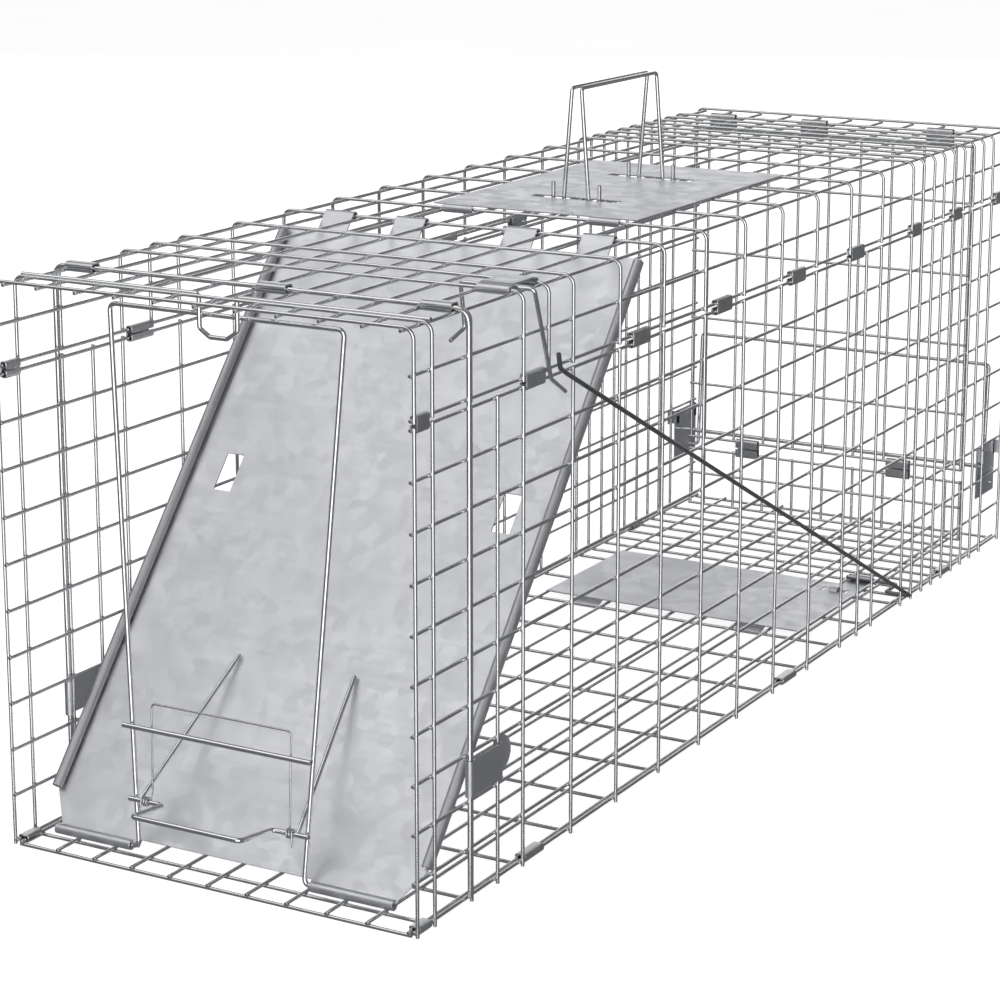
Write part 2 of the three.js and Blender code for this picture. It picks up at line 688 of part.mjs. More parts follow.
function handleGuard() {
  const front = along(6 * HOOP_PITCH);
  const outline = [
    [HANDLE_X - 65, front + 3],
    [HANDLE_X + 65, front + 3],
    [HANDLE_X + 65, along(508) - 3],
    [HANDLE_X - 65, along(508) - 3],
  ];
  const slots = HANDLE_FEET.map((s) => [
    [HANDLE_X - 28, along(s) - 4],
    [HANDLE_X + 28, along(s) - 4],
    [HANDLE_X + 28, along(s) + 4],
    [HANDLE_X - 28, along(s) + 4],
  ]);
  const plate = prism(outline, "z", [GUARD_Z - SHEET / 2, GUARD_Z + SHEET / 2], slots);
  const flat = [
    [front + 2.5, GUARD_Z],
    [front + 5, GUARD_Z],
  ];
  const roll = [...arc([front, HOOP_Z], CURL_RADIUS, 300, 100, 7), ...flat];
  const rolls = [-2, 2].map((cell) => {
    const x = topCell(cell);
    return strip(roll, "x", [x - TAB_WIDTH / 2, x + TAB_WIDTH / 2]);
  });
  return join([plate, ...rolls]);
}

// Each handle hooks under its own long wire and swings outward about it.
function handle(side) {
  const [front, rear] = HANDLE_FEET.map(along);
  const hookZ = HEIGHT - 2 * WIRE - 0.5 - HANDLE_ROD / 2;
  const end = (y) => [
    [HANDLE_X + side * 14.9, y, 304],
    [HANDLE_X + side * 14.9, y, hookZ],
    [HANDLE_X + side * 8.5, y, hookZ],
  ];
  const path = [
    ...end(front),
    [HANDLE_X + side * 3, front, 358.8],
    [HANDLE_X + side * 3, rear, 358.8],
    ...end(rear).reverse(),
  ];
  return rod(bent(path, 2.6), HANDLE_ROD, 8);
}

// ---------- assembly ----------
const trap = new THREE.Group();

addMesh(trap, "floor_panel", floorPanel(), meshWire);
addMesh(trap, "left_side_panel", sidePanel(-1), meshWire);
addMesh(trap, "right_side_panel", sidePanel(1), meshWire);
addMesh(trap, "upper_shell", upperShell(), meshWire);
addClips(trap);

addMesh(trap, "front_frame_rod", frontFrameRod(), brightRod);
[-104, topCell(0), 104].forEach((x, i) => {
  addMesh(trap, `frame_sleeve_${i + 1}`, frameSleeve(x), clipSteel);
});
addMesh(trap, "left_rod_plate", rodPlate(-1), sheetSteel);
addMesh(trap, "right_rod_plate", rodPlate(1), sheetSteel);
addMesh(trap, "hook_rod", hookRod(), brightRod);

const door = new THREE.Group();
door.position.set(0, HINGE_Y, HOOP_Z);
door.rotation.x = -DOOR_TILT;
trap.add(door);
addMesh(door, "door_plate", doorPlate(), sheetSteel);

const bail = new THREE.Group();
bail.position.set(0, DOOR_FOOT.y, DOOR_FOOT.z);
bail.rotation.x = -BAIL_LEAN;
trap.add(bail);
addMesh(bail, "lock_bail", lockBail(), brightRod);
addMesh(bail, "bail_crossbar", bailCrossbar(), brightRod);
addMesh(bail, "lock_lever", lockLever(), brightRod);
addMesh(bail, "lock_spring", lockSpring(), springWire);

addMesh(trap, "lever_bracket", leverBracket(), sheetSteel);
addMesh(trap, "prop_lever", propLever(), brightRod);
addMesh(trap, "trigger_rod", triggerRod(), darkRod);
addMesh(trap, "trigger_pan", triggerPan(), sheetSteel);

addMesh(trap, "rear_gate", rearGate(), meshWire);
[-4, -1, 3].forEach((cell, i) => {
  const sleeve = twinSleeve(topCell(cell), HOOP_Z, HOOP_Z - GATE_TOP_DEPTH, TAB_WIDTH);
  addMesh(trap, `gate_sleeve_${i + 1}`, sleeve, clipSteel);
});
addMesh(trap, "rear_flap", rearFlap(), meshWire);
[-3, 2].forEach((cell, i) => {
  const sleeve = twinSleeve(topCell(cell), GATE_LEVELS.at(-1), FLAP_TOP, 17);
  addMesh(trap, `flap_sleeve_${i + 1}`, sleeve, clipSteel);
});
addMesh(trap, "rear_lock_rod", rearLockRod(), brightRod);
addMesh(trap, "rear_bail", rearBail(), brightRod);
addMesh(trap, "left_rear_bracket", rearBracket(-1), sheetSteel);
addMesh(trap, "right_rear_bracket", rearBracket(1), sheetSteel);

addMesh(trap, "handle_guard", handleGuard(), sheetSteel);
addMesh(trap, "left_handle", handle(-1), brightRod);
addMesh(trap, "right_handle", handle(1), brightRod);

export default trap;
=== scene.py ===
"""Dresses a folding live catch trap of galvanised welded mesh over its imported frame.

All sizes are millimetres in the trap's own frame: +Y from the mouth to the rear, +Z up, +X the right-hand
side seen from the mouth. A piece's points are turned into metres when its mesh is made.
"""

import logging
import math
from dataclasses import dataclass, field
from enum import Enum
from typing import Any, Callable, Sequence

import bpy
import numpy as np
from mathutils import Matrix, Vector

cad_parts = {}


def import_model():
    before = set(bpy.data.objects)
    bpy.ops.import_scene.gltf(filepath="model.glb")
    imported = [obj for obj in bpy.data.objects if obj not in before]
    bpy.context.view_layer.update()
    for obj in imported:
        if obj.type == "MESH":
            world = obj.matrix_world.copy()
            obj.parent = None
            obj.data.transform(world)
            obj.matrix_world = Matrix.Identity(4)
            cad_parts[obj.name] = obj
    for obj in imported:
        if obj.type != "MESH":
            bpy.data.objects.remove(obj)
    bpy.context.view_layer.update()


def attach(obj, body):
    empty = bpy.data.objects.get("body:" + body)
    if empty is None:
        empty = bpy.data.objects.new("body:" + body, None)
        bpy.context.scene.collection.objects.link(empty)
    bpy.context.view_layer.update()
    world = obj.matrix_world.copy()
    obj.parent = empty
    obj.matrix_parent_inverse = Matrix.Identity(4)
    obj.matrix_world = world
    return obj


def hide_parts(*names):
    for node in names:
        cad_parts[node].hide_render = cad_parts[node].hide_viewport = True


LOG = logging.getLogger("catch_trap")
MM = 0.001
SIDES = (("right", 1), ("left", -1))
UP = (0.0, 0.0, 1.0)

# Roundings and sheet sizes in millimetres; the chamfer of a cut end is a share of the wire's radius.
EDGE_ROUNDING = 0.14
SLEEVE_ROUNDING = 0.12
SLEEVE_SHEET = 0.6
CUT_CHAMFER = 0.3
SHARP_ANGLE = math.radians(42)

# Half sizes of the weld beads on the level panels, the side walls and the gate.
LEVEL_BEAD = (1.5, 1.5, 0.7)
WALL_BEAD = (0.7, 1.5, 1.5)
GATE_BEAD = (1.4, 0.7, 1.4)

# How far cut ends, welds and rolled edges are darkened, from 0 to 1, and the colour they go towards.
CUT_TARNISH = 0.85
WELD_TARNISH = 0.42
# On the rolled edges this darkening is painted: a dark reflection of the surroundings put into the colour.
ROLL_PAINTED_REFLECTION = 0.22
TARNISH_AND_REFLECTION_COLOUR = (0.06, 0.058, 0.056, 1)

Array = np.ndarray
Path = Sequence[Sequence[float]]


class Slot(Enum):
    """The finishes that the trap's pieces are made in."""

    MESH_WIRE = "mesh_wire"
    BRIGHT_ROD = "bright_rod"
    DARK_ROD = "dark_rod"
    SHEET = "sheet"
    CLIP = "clip"
    SPRING_WIRE = "spring_wire"


class Run(Enum):
    """The axis that a bent strip of sheet is drawn out along."""

    X = 0
    Y = 1
    Z = 2


# ---------- sizes that several sub-assemblies share ----------
@dataclass(frozen=True)
class TrapSizes:
    """The mesh box's sizes; s is a distance behind the front hoop.

    Crossing wires are pressed into each other by the sink; curl is the radius of sheet rolled round a wire.
    """

    pitch: float = 50.8
    wire: float = 1.9
    sheet: float = 0.8
    gap: float = 0.3
    length: float = 794.0
    half_width: float = 121.0
    height: float = 294.0
    top_pitch: float = 23.3
    floor_pitch: float = 23.12
    side_pitch: float = 24.3
    side_rows: int = 11
    wires_each_side: int = 5
    seam_z: float = 250.2
    shell_side_z: float = 271.0
    sink: float = 0.28
    curl: float = 2.1
    second_hoop: float = 16.0
    main_hoops: int = 13
    rear_hoops: tuple[float, ...] = (628.0, 647.0, 665.0, 683.0, 702.0, 720.0, 738.0, 757.0, 794.0)

    @property
    def radius(self) -> float:
        """Half a mesh wire."""
        return self.wire / 2

    @property
    def wrap(self) -> float:
        """From a wire's surface to the middle of a sheet that is wrapped round it."""
        return self.gap + self.sheet / 2

    @property
    def front(self) -> float:
        """The front hoop's y."""
        return -8 * self.pitch

    @property
    def inner_x(self) -> float:
        """The inner face of the side walls' long wires."""
        return self.half_width - 2 * self.wire

    @property
    def hoop_z(self) -> float:
        """The middle of a hoop's top run."""
        return self.height - self.radius

    @property
    def floor_top(self) -> float:
        """The top of the floor's long wires."""
        return 2 * self.wire

    @property
    def side_row_z(self) -> float:
        """The middle of a side wall's lowest long wire."""
        return 1.5 * self.wire

    def y(self, s: float) -> float:
        """The y of a place s behind the front hoop."""
        return self.front + s

    def cell(self, number: float) -> float:
        """The middle of a gap between two of the top's long wires."""
        return (number + 0.5) * self.top_pitch

    def tab(self, number: float, width: float = 19.0) -> tuple[float, float]:
        """Where a tab of sheet in the middle of such a gap starts and stops."""
        return self.cell(number) - width / 2, self.cell(number) + width / 2

    def hoops(self, *extra: float) -> Array:
        """The hoops' y.

        Args:
            extra: Distances behind the front hoop of hoops that only some panels have.

        Returns:
            One y for each hoop, front to rear.
        """
        main = self.pitch * np.arange(self.main_hoops)
        return self.front + np.sort([self.second_hoop, *main, *self.rear_hoops, *extra])


T = TrapSizes()


# ---------- skins: closed surfaces as arrays ----------
@dataclass
class Skin:
    """A closed surface: points, four-cornered faces, and caps with more corners."""

    points: Array
    quads: Array
    caps: list[Array] = field(default_factory=list)
    # Darkening towards a dark colour: tarnish at cut ends and welds, and a painted dark reflection on rolled
    # edges.
    tarnish_and_reflection: Array | float = 0.0

    def outward(self) -> "Skin":
        """Turns the faces round if their signed volume, a sixth of the corners' triple products, is negative.

        Returns:
            The same skin, facing out.
        """
        a, b, c, d = (self.points[self.quads[:, i]] for i in range(4))
        volume = np.einsum("ij,ij->", a, np.cross(b, c)) + np.einsum("ij,ij->", a, np.cross(c, d))
        for cap in self.caps:
            first = self.points[cap[:, :1]]
            fan = np.cross(self.points[cap[:, 1:-1]], self.points[cap[:, 2:]])
            volume += np.sum(first * fan)
        if volume < 0:
            self.quads = self.quads[:, ::-1]
            self.caps = [cap[:, ::-1] for cap in self.caps]
        return self

    def moved(self, change: Callable[[Array], Array]) -> "Skin":
        """The skin with a change of place applied to all its points."""
        return Skin(change(self.points), self.quads, self.caps, self.tarnish_and_reflection)


def steady_direction(tangents: Array) -> Array:
    """Finds a direction that a path never runs along: the one whose largest cosine to the path is smallest.

    Args:
        tangents: Unit tangents, one a row.

    Returns:
        A unit vector.
    """
    grid = np.stack(np.meshgrid([-1, 0, 1], [-1, 0, 1], [-1, 0, 1], indexing="ij"), -1).reshape(-1, 3)
    ways = grid[np.any(grid != 0, axis=1)].astype(float)
    ways /= np.linalg.norm(ways, axis=1, keepdims=True)
    return ways[np.abs(tangents @ ways.T).max(axis=0).argmin()]


def ring_quads(index: Array) -> Array:
    """The faces between the rows of a grid of point numbers whose last column meets its first."""
    beside = np.roll(index, -1, axis=1)
    return np.stack([index[:-1], beside[:-1], beside[1:], index[1:]], -1).reshape(-1, 4)


def rod(path: Path, diameter: float, sides: int) -> Skin:
    """Carries a circle along a path; the wire's cut ends are broken by a small chamfer.

    A ring's points are the path's point plus the radius times cos(angle) of one cross direction and
    sin(angle) of the other. The cross directions are the path's tangent crossed with a direction that it
    never runs along.

    Args:
        path: Points of the wire's middle line.
        diameter: The wire's diameter.
        sides: Points in a ring.

    Returns:
        The closed skin.
    """
    line = np.asarray(path, float)
    radius = diameter / 2
    chamfer = CUT_CHAMFER * radius
    steps = np.diff(line, axis=0)
    steps /= np.linalg.norm(steps, axis=1, keepdims=True)
    tangents = np.vstack([steps[:1], steps[:-1] + steps[1:], steps[-1:]])
    tangents /= np.linalg.norm(tangents, axis=1, keepdims=True)
    first, last = line[:1] + tangents[:1] * chamfer, line[-1:] - tangents[-1:] * chamfer
    line = np.vstack([line[:1], first, line[1:-1], last, line[-1:]])
    tangents = np.vstack([tangents[:1], tangents, tangents[-1:]])
    radii = np.full(len(line), radius)
    radii[[0, -1]] = radius - chamfer
    across = np.cross(tangents, steady_direction(tangents))
    across /= np.linalg.norm(across, axis=1, keepdims=True)
    other = np.cross(tangents, across)
    turn = np.arange(sides) * 2 * np.pi / sides
    rings = np.cos(turn)[None, :, None] * across[:, None] + np.sin(turn)[None, :, None] * other[:, None]
    points = line[:, None] + radii[:, None, None] * rings
    index = np.arange(len(line) * sides).reshape(len(line), sides)
    marks = np.zeros(index.shape)
    marks[[0, -1]] = CUT_TARNISH
    caps = [index[:1, ::-1], index[-1:]]
    return Skin(points.reshape(-1, 3), ring_quads(index), caps, marks.ravel()).outward()


def bent(path: Path, radius: float, steps: int = 8) -> Array:
    """Rounds a path's corners: each is replaced by a parabola from one leg to the other, tangent to both.

    Args:
        path: Corner points.
        radius: How tight the bend is.
        steps: Pieces in each bend.

    Returns:
        The rounded path, one point a row.
    """
    corners = np.asarray(path, float)
    t = np.linspace(0, 1, steps + 1)[:, None]
    rounded = [corners[:1]]
    for before, corner, after in zip(corners[:-2], corners[1:-1], corners[2:]):
        back, on = before - corner, after - corner
        back_way, on_way = back / np.linalg.norm(back), on / np.linalg.norm(on)
        opening = math.acos(float(np.clip(back_way @ on_way, -1, 1)))
        reach = min(radius / math.tan(opening / 2), 0.49 * np.linalg.norm(back), 0.49 * np.linalg.norm(on))
        enter, leave = corner + back_way * reach, corner + on_way * reach
        rounded.append((1 - t) ** 2 * enter + 2 * t * (1 - t) * corner + t**2 * leave)
    rounded.append(corners[-1:])
    return np.vstack(rounded)


def both_halves(path: Path) -> Array:
    """A path joined to its mirror image, which runs back from the trap's middle plane."""
    half = np.asarray(path, float)
    return np.vstack([half, half[::-1] * (-1, 1, 1)])


def arc(centre: Sequence[float], radius: float, start: float, stop: float, step: float = 10.0) -> Array:
    """Points on a flat arc, about one every step degrees: the centre plus radius times (cos, sin).

    Args:
        centre: The middle of the arc.
        radius: Its radius.
        start: First angle in degrees.
        stop: Last angle in degrees.
        step: Angle between points.

    Returns:
        Flat points, one a row.
    """
    angle = np.radians(np.linspace(start, stop, max(2, math.ceil(abs(stop - start) / step)) + 1))
    return np.asarray(centre, float) + radius * np.stack([np.cos(angle), np.sin(angle)], -1)


def cell_middles(columns: Array, rows: Array) -> tuple[Array, Array]:
    """The middles of a grid's cells: a column of places across it and a row of places along it."""
    return ((columns[1:] + columns[:-1]) / 2)[:, None], ((rows[1:] + rows[:-1]) / 2)[None, :]


def slab(
    middle: Array, normal: Array | Sequence[float], thickness: float = T.sheet, keep: Array | None = None,
    tarnish_and_reflection: float = 0.0,
) -> Skin:
    """Thickens a grid of points evenly to both sides; dropped cells leave openings with walls round them.

    Each point goes out and in by half the thickness times its normal. A cell's side gets a wall where the
    cell beyond it is missing.

    Args:
        middle: Points of the sheet's middle surface, rows by columns by 3.
        normal: The direction to thicken in, one for all points or one for each.
        thickness: The sheet's thickness.
        keep: Which cells exist.
        tarnish_and_reflection: Darkening of the whole piece; on rolled edges it is a painted dark reflection.

    Returns:
        The closed skin.
    """
    rows, columns = middle.shape[:2]
    half = np.asarray(normal, float) * (thickness / 2)
    points = np.concatenate([(middle + half).reshape(-1, 3), (middle - half).reshape(-1, 3)])
    over = np.arange(rows * columns).reshape(rows, columns)
    under = over + rows * columns
    kept = np.ones((rows - 1, columns - 1), bool) if keep is None else keep
    corner = [grid[a, b] for grid in (over, under) for a, b in (
        (slice(None, -1), slice(None, -1)), (slice(1, None), slice(None, -1)),
        (slice(1, None), slice(1, None)), (slice(None, -1), slice(1, None)))]
    framed = np.pad(kept, 1)
    faces = (
        (kept, (0, 1, 2, 3)),
        (kept, (7, 6, 5, 4)),
        (kept & ~framed[:-2, 1:-1], (4, 0, 3, 7)),
        (kept & ~framed[2:, 1:-1], (5, 6, 2, 1)),
        (kept & ~framed[1:-1, :-2], (4, 5, 1, 0)),
        (kept & ~framed[1:-1, 2:], (7, 3, 2, 6)),
    )
    quads = np.concatenate([np.stack([corner[i][which] for i in order], -1) for which, order in faces])
    used, quads = np.unique(quads, return_inverse=True)
    return Skin(points[used], quads.reshape(-1, 4), [], tarnish_and_reflection).outward()


def strip(
    profile: Path, run: Run, span: Sequence[float], thickness: float = T.sheet, tarnish_and_reflection: float = 0.0,
    tongue: float = 0.0,
) -> Skin:
    """A bent strip of sheet: a flat profile thickened along its mitred normals and drawn out along an axis.

    Args:
        profile: Flat points: (y, z) for a run along x, (x, z) along y, (x, y) along z.
        run: The axis that it is drawn out along.
        span: Where the strip starts and stops on that axis.
        thickness: The sheet's thickness.
        tarnish_and_reflection: Darkening of the whole strip; on rolled edges it is a painted dark reflection.
        tongue: How long the half-round end of the profile's last run is, or 0 for a square end.

    Returns:
        The closed skin.
    """
    flat = np.asarray(profile, float)
    steps = np.diff(flat, axis=0)
    steps /= np.linalg.norm(steps, axis=1, keepdims=True)
    sides = np.stack([-steps[:, 1], steps[:, 0]], -1)
    mitre = np.vstack([sides[:1], sides[:-1] + sides[1:], sides[-1:]])
    mitre[1:-1] *= 2 / np.maximum(np.sum(mitre[1:-1] ** 2, axis=1, keepdims=True), 0.5)
    left = np.append(np.cumsum(np.linalg.norm(np.diff(flat, axis=0), axis=1)[::-1])[::-1], 0.0)
    narrow = np.sqrt(1 - np.clip(1 - left / tongue, 0, 0.98) ** 2) if tongue else np.ones(len(flat))
    share = np.linspace(-0.5, 0.5, 3)
    places = (span[0] + span[1]) / 2 + (span[1] - span[0]) * narrow[:, None] * share[None, :]
    middle = np.insert(np.repeat(flat[:, None], len(share), 1), run.value, places, axis=2)
    normal = np.insert(np.repeat(mitre[:, None], len(share), 1), run.value, 0.0, axis=2)
    return slab(middle, normal, thickness, tarnish_and_reflection=tarnish_and_reflection)


def welds(centres: Array, spread: Sequence[float]) -> Skin:
    """Small flattened beads at wire crossings: rings of cos(height) by sin(height), stretched on each axis.

    Args:
        centres: The crossings, one a row.
        spread: The bead's half sizes on the three axes.

    Returns:
        All the beads as one skin.
    """
    sides, heights = 8, np.radians([-50.0, 0.0, 50.0])
    around, height = np.meshgrid(np.arange(sides) * 2 * np.pi / sides, heights)
    ring = [np.cos(height) * np.cos(around), np.cos(height) * np.sin(around), np.sin(height)]
    bead = np.stack(ring, -1).reshape(-1, 3) * np.asarray(spread, float)
    points = centres[:, None] + bead[None]
    index = np.arange(len(bead)).reshape(len(heights), sides)
    first = np.arange(len(centres))[:, None] * len(bead)
    caps = [index[0][::-1][None] + first, index[-1][None] + first]
    quads = (ring_quads(index)[None] + first[:, :, None]).reshape(-1, 4)
    return Skin(points.reshape(-1, 3), quads, caps, WELD_TARNISH).outward()


def crossings(x: float | Sequence[float], y: float | Sequence[float], z: float | Sequence[float]) -> Array:
    """Every point with one of these x, one of these y and one of these z.

    Args:
        x: Places across the trap, or one place.
        y: Places along it, or one place.
        z: Heights, or one height.

    Returns:
        One point a row.
    """
    return np.stack(np.meshgrid(x, y, z, indexing="ij"), -1).reshape(-1, 3)


def tilt(angle: float, origin: Sequence[float]) -> Callable[[Array], Array]:
    """A turn about the x axis, top to the rear for a negative angle, and then a move to a place.

    Args:
        angle: The turn in radians.
        origin: Where the turned frame's origin goes.

    Returns:
        A function that places points.
    """
    c, s = math.cos(angle), math.sin(angle)
    turn = np.array([[1, 0, 0], [0, c, -s], [0, s, c]])
    return lambda points: np.asarray(points, float) @ turn.T + np.asarray(origin, float)


# ---------- finishes ----------
class Tone:
    """Wraps a shader socket so that values can be worked out as plain expressions."""

    def __init__(self, paint: "Paint", socket: bpy.types.NodeSocket) -> None:
        """Keeps the socket and the paint that it belongs to."""
        self.paint = paint
        self.socket = socket

    def _math(self, operation: str, *values: Any) -> "Tone":
        """Adds a Math node for an operation on these values."""
        return self.paint.node("ShaderNodeMath", {"operation": operation}, dict(enumerate(values)))

    def __add__(self, other: Any) -> "Tone":
        """Adds a value or another tone."""
        return self._math("ADD", self, other)

    def __sub__(self, other: Any) -> "Tone":
        """Takes a value or another tone away."""
        return self._math("SUBTRACT", self, other)

    def __rsub__(self, other: Any) -> "Tone":
        """Takes this tone away from a value."""
        return self._math("SUBTRACT", other, self)

    def __mul__(self, other: Any) -> "Tone":
        """Multiplies by a value or another tone."""
        return self._math("MULTIPLY", self, other)

    __radd__ = __add__
    __rmul__ = __mul__


class Paint:
    """A material under construction."""

    def __init__(self, name: str) -> None:
        """Starts an empty material of this name."""
        self.material = bpy.data.materials.new(name)
        self.material.use_nodes = True
        self.tree = self.material.node_tree
        self.tree.nodes.clear()

    def node(
        self, kind: str, settings: dict[str, Any], sockets: dict[Any, Any], output: str | int = 0
    ) -> Tone:
        """Adds one node.

        Args:
            kind: The node's type.
            settings: Properties to set first.
            sockets: Values or tones for its inputs, by name or number.
            output: Which output to use.

        Returns:
            The output as a tone.
        """
        made = self.tree.nodes.new(kind)
        for name, value in settings.items():
            setattr(made, name, value)
        for key, value in sockets.items():
            if isinstance(value, Tone):
                self.tree.links.new(value.socket, made.inputs[key])
            else:
                made.inputs[key].default_value = value
        return Tone(self, made.outputs[output]) if len(made.outputs) else Tone(self, made.inputs[0])

    def mix(self, share: Any, a: Any, b: Any) -> Tone:
        """Mixes two colours by a share of the second."""
        return self.node("ShaderNodeMix", {"data_type": "RGBA"}, {0: share, 6: a, 7: b}, 2)

    def noise(self, where: Tone, scale: float, detail: float = 3.0) -> Tone:
        """A soft noise between 0 and 1 with so many features a metre."""
        return self.node("ShaderNodeTexNoise", {}, {"Vector": where, "Scale": scale, "Detail": detail}, "Fac")

    def close(self, sockets: dict[str, Any]) -> bpy.types.Material:
        """Joins a Principled surface with these inputs to the output and returns the material."""
        surface = self.node("ShaderNodeBsdfPrincipled", {}, sockets, "BSDF")
        self.node("ShaderNodeOutputMaterial", {}, {"Surface": surface})
        return self.material


@dataclass(frozen=True)
class Zinc:
    """A galvanised steel finish: mottled tone, drawn or rolled lines, dark welds and cut ends, and a painted
    dark reflection on rolled edges.
    """

    name: str
    slot: Slot
    colour: tuple[float, float, float]
    shade: tuple[float, float, float]
    roughness: float
    mottle_scale: float
    mottle_depth: float
    lines_stretch: tuple[float, float, float]
    lines_height: float
    spangle_scale: float = 0.0
    spangle_depth: float = 0.0

    def material(self) -> bpy.types.Material:
        """Builds the material.

        Base colour runs from the shade to the colour with the mottle, the spangle and the tarnish; on rolled
        edges that darkening is a painted dark reflection. Roughness rises with each of them. The lines are a
        stretched noise that lifts the surface a little.

        Returns:
            The finished material.
        """
        paint = Paint(self.name)
        where = paint.node("ShaderNodeTexCoord", {}, {}, "Object")
        mottle = paint.noise(where, self.mottle_scale, 4.0)
        cloud = paint.noise(where, self.mottle_scale / 9, 2.0)
        stretched = paint.node("ShaderNodeMapping", {}, {"Vector": where, "Scale": self.lines_stretch})
        lines = paint.noise(stretched, 1.0)
        # The tarnish attribute darkens cut ends and welds, and paints a dark reflection on the door's rolled
        # edges.
        tarnish_and_reflection = paint.node("ShaderNodeAttribute", {"attribute_name": "tarnish_and_reflection"}, {}, "Fac")
        uneven = (mottle - 0.5) * self.mottle_depth + (cloud - 0.5) * self.mottle_depth
        rough = self.roughness + (mottle - 0.5) * 0.16 + (lines - 0.5) * 0.12
        if self.spangle_depth:
            crystal = paint.node(
                "ShaderNodeTexVoronoi", {"feature": "F1"},
                {"Vector": where, "Scale": self.spangle_scale, "Randomness": 1.0}, "Color",
            )
            grey = paint.node("ShaderNodeSeparateColor", {}, {"Color": crystal}, "Red")
            uneven = uneven + (grey - 0.5) * self.spangle_depth
            rough = rough + (grey - 0.5) * 0.1
        light = paint.node("ShaderNodeMath", {"operation": "ADD", "use_clamp": True}, {0: uneven, 1: 0.75})
        clean = paint.mix(light, (*self.shade, 1), (*self.colour, 1))
        bump = paint.node("ShaderNodeBump", {}, {
            "Strength": 0.35, "Distance": self.lines_height * MM, "Height": lines * 0.6 + mottle * 0.4,
        }, "Normal")
        return paint.close({
            "Base Color": paint.mix(tarnish_and_reflection, clean, TARNISH_AND_REFLECTION_COLOUR),
            "Metallic": 1 - tarnish_and_reflection * 0.35,
            "Roughness": rough + tarnish_and_reflection * 0.25,
            "Normal": bump,
        })


FINISHES = (
    Zinc(
        "galvanised_mesh_wire", Slot.MESH_WIRE, colour=(0.86, 0.865, 0.87), shade=(0.58, 0.585, 0.595),
        roughness=0.2, mottle_scale=420, mottle_depth=0.7, lines_stretch=(260, 260, 260), lines_height=0.05,
    ),
    Zinc(
        "bright_drawn_rod", Slot.BRIGHT_ROD, colour=(0.88, 0.885, 0.89), shade=(0.62, 0.625, 0.63),
        roughness=0.16, mottle_scale=300, mottle_depth=0.6, lines_stretch=(190, 190, 190), lines_height=0.04,
    ),
    Zinc(
        "dull_drawn_rod", Slot.DARK_ROD, colour=(0.36, 0.365, 0.37), shade=(0.16, 0.163, 0.168),
        roughness=0.3, mottle_scale=260, mottle_depth=0.8, lines_stretch=(150, 150, 150), lines_height=0.05,
    ),
    Zinc(
        "galvanised_sheet", Slot.SHEET, colour=(0.80, 0.805, 0.83), shade=(0.66, 0.665, 0.69),
        roughness=0.44, mottle_scale=60, mottle_depth=0.16, lines_stretch=(14, 520, 520), lines_height=0.02,
        spangle_scale=140, spangle_depth=0.07,
    ),
    Zinc(
        "clip_sheet", Slot.CLIP, colour=(0.78, 0.785, 0.79), shade=(0.48, 0.485, 0.49),
        roughness=0.36, mottle_scale=240, mottle_depth=0.7, lines_stretch=(500, 40, 500), lines_height=0.06,
        spangle_scale=150, spangle_depth=0.35,
    ),
    Zinc(
        "spring_steel", Slot.SPRING_WIRE, colour=(0.74, 0.745, 0.75), shade=(0.40, 0.405, 0.41),
        roughness=0.25, mottle_scale=500, mottle_depth=0.7, lines_stretch=(300, 300, 300), lines_height=0.04,
    ),
)


# ---------- putting pieces on the frame ----------
class Workshop:
    """Makes pieces, gives them their finish and puts them on the bodies that carry them."""

    def __init__(self) -> None:
        """Builds one material for each finish."""
        self.materials = {finish.slot: finish.material() for finish in FINISHES}

    def place(
        self, name: str, skins: Sequence[Skin], slot: Slot, body: str, node: str, bevel: float = 0.0
    ) -> None:
        """Makes one piece from its skins.

        Args:
            name: The piece's name.
            skins: The closed surfaces that it is made of.
            slot: Its finish.
            body: The body that it rides on.
            node: The plain solid that it stands for.
            bevel: Width of the rounding on its edges, or 0 for none.
        """
        firsts = np.cumsum([0] + [len(skin.points) for skin in skins])
        points = np.concatenate([skin.points for skin in skins]) * MM
        faces: list[list[int]] = []
        for skin, first in zip(skins, firsts):
            faces += (skin.quads + first).tolist()
            for cap in skin.caps:
                faces += (cap + first).tolist()
        mesh = bpy.data.meshes.new(name)
        mesh.from_pydata(points.tolist(), [], faces)
        marks = np.concatenate([np.broadcast_to(skin.tarnish_and_reflection, len(skin.points)) for skin in skins])
        layer = mesh.attributes.new("tarnish_and_reflection", "FLOAT", "POINT")
        layer.data.foreach_set("value", marks.astype(np.float32))
        mesh.polygons.foreach_set("use_smooth", np.ones(len(faces), bool))
        mesh.update()
        mesh.set_sharp_from_angle(angle=SHARP_ANGLE)
        mesh.materials.append(self.materials[slot])
        piece = bpy.data.objects.new(name, mesh)
        bpy.context.scene.collection.objects.link(piece)
        if bevel:
            rounding = piece.modifiers.new("rounded edges", "BEVEL")
            rounding.width = bevel * MM
            rounding.segments = 2
            rounding.limit_method = "ANGLE"
            rounding.angle_limit = SHARP_ANGLE
            rounding.harden_normals = False
        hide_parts(node)
        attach(piece, body)
        LOG.info("%s: %d faces on %s", name, len(faces), body)


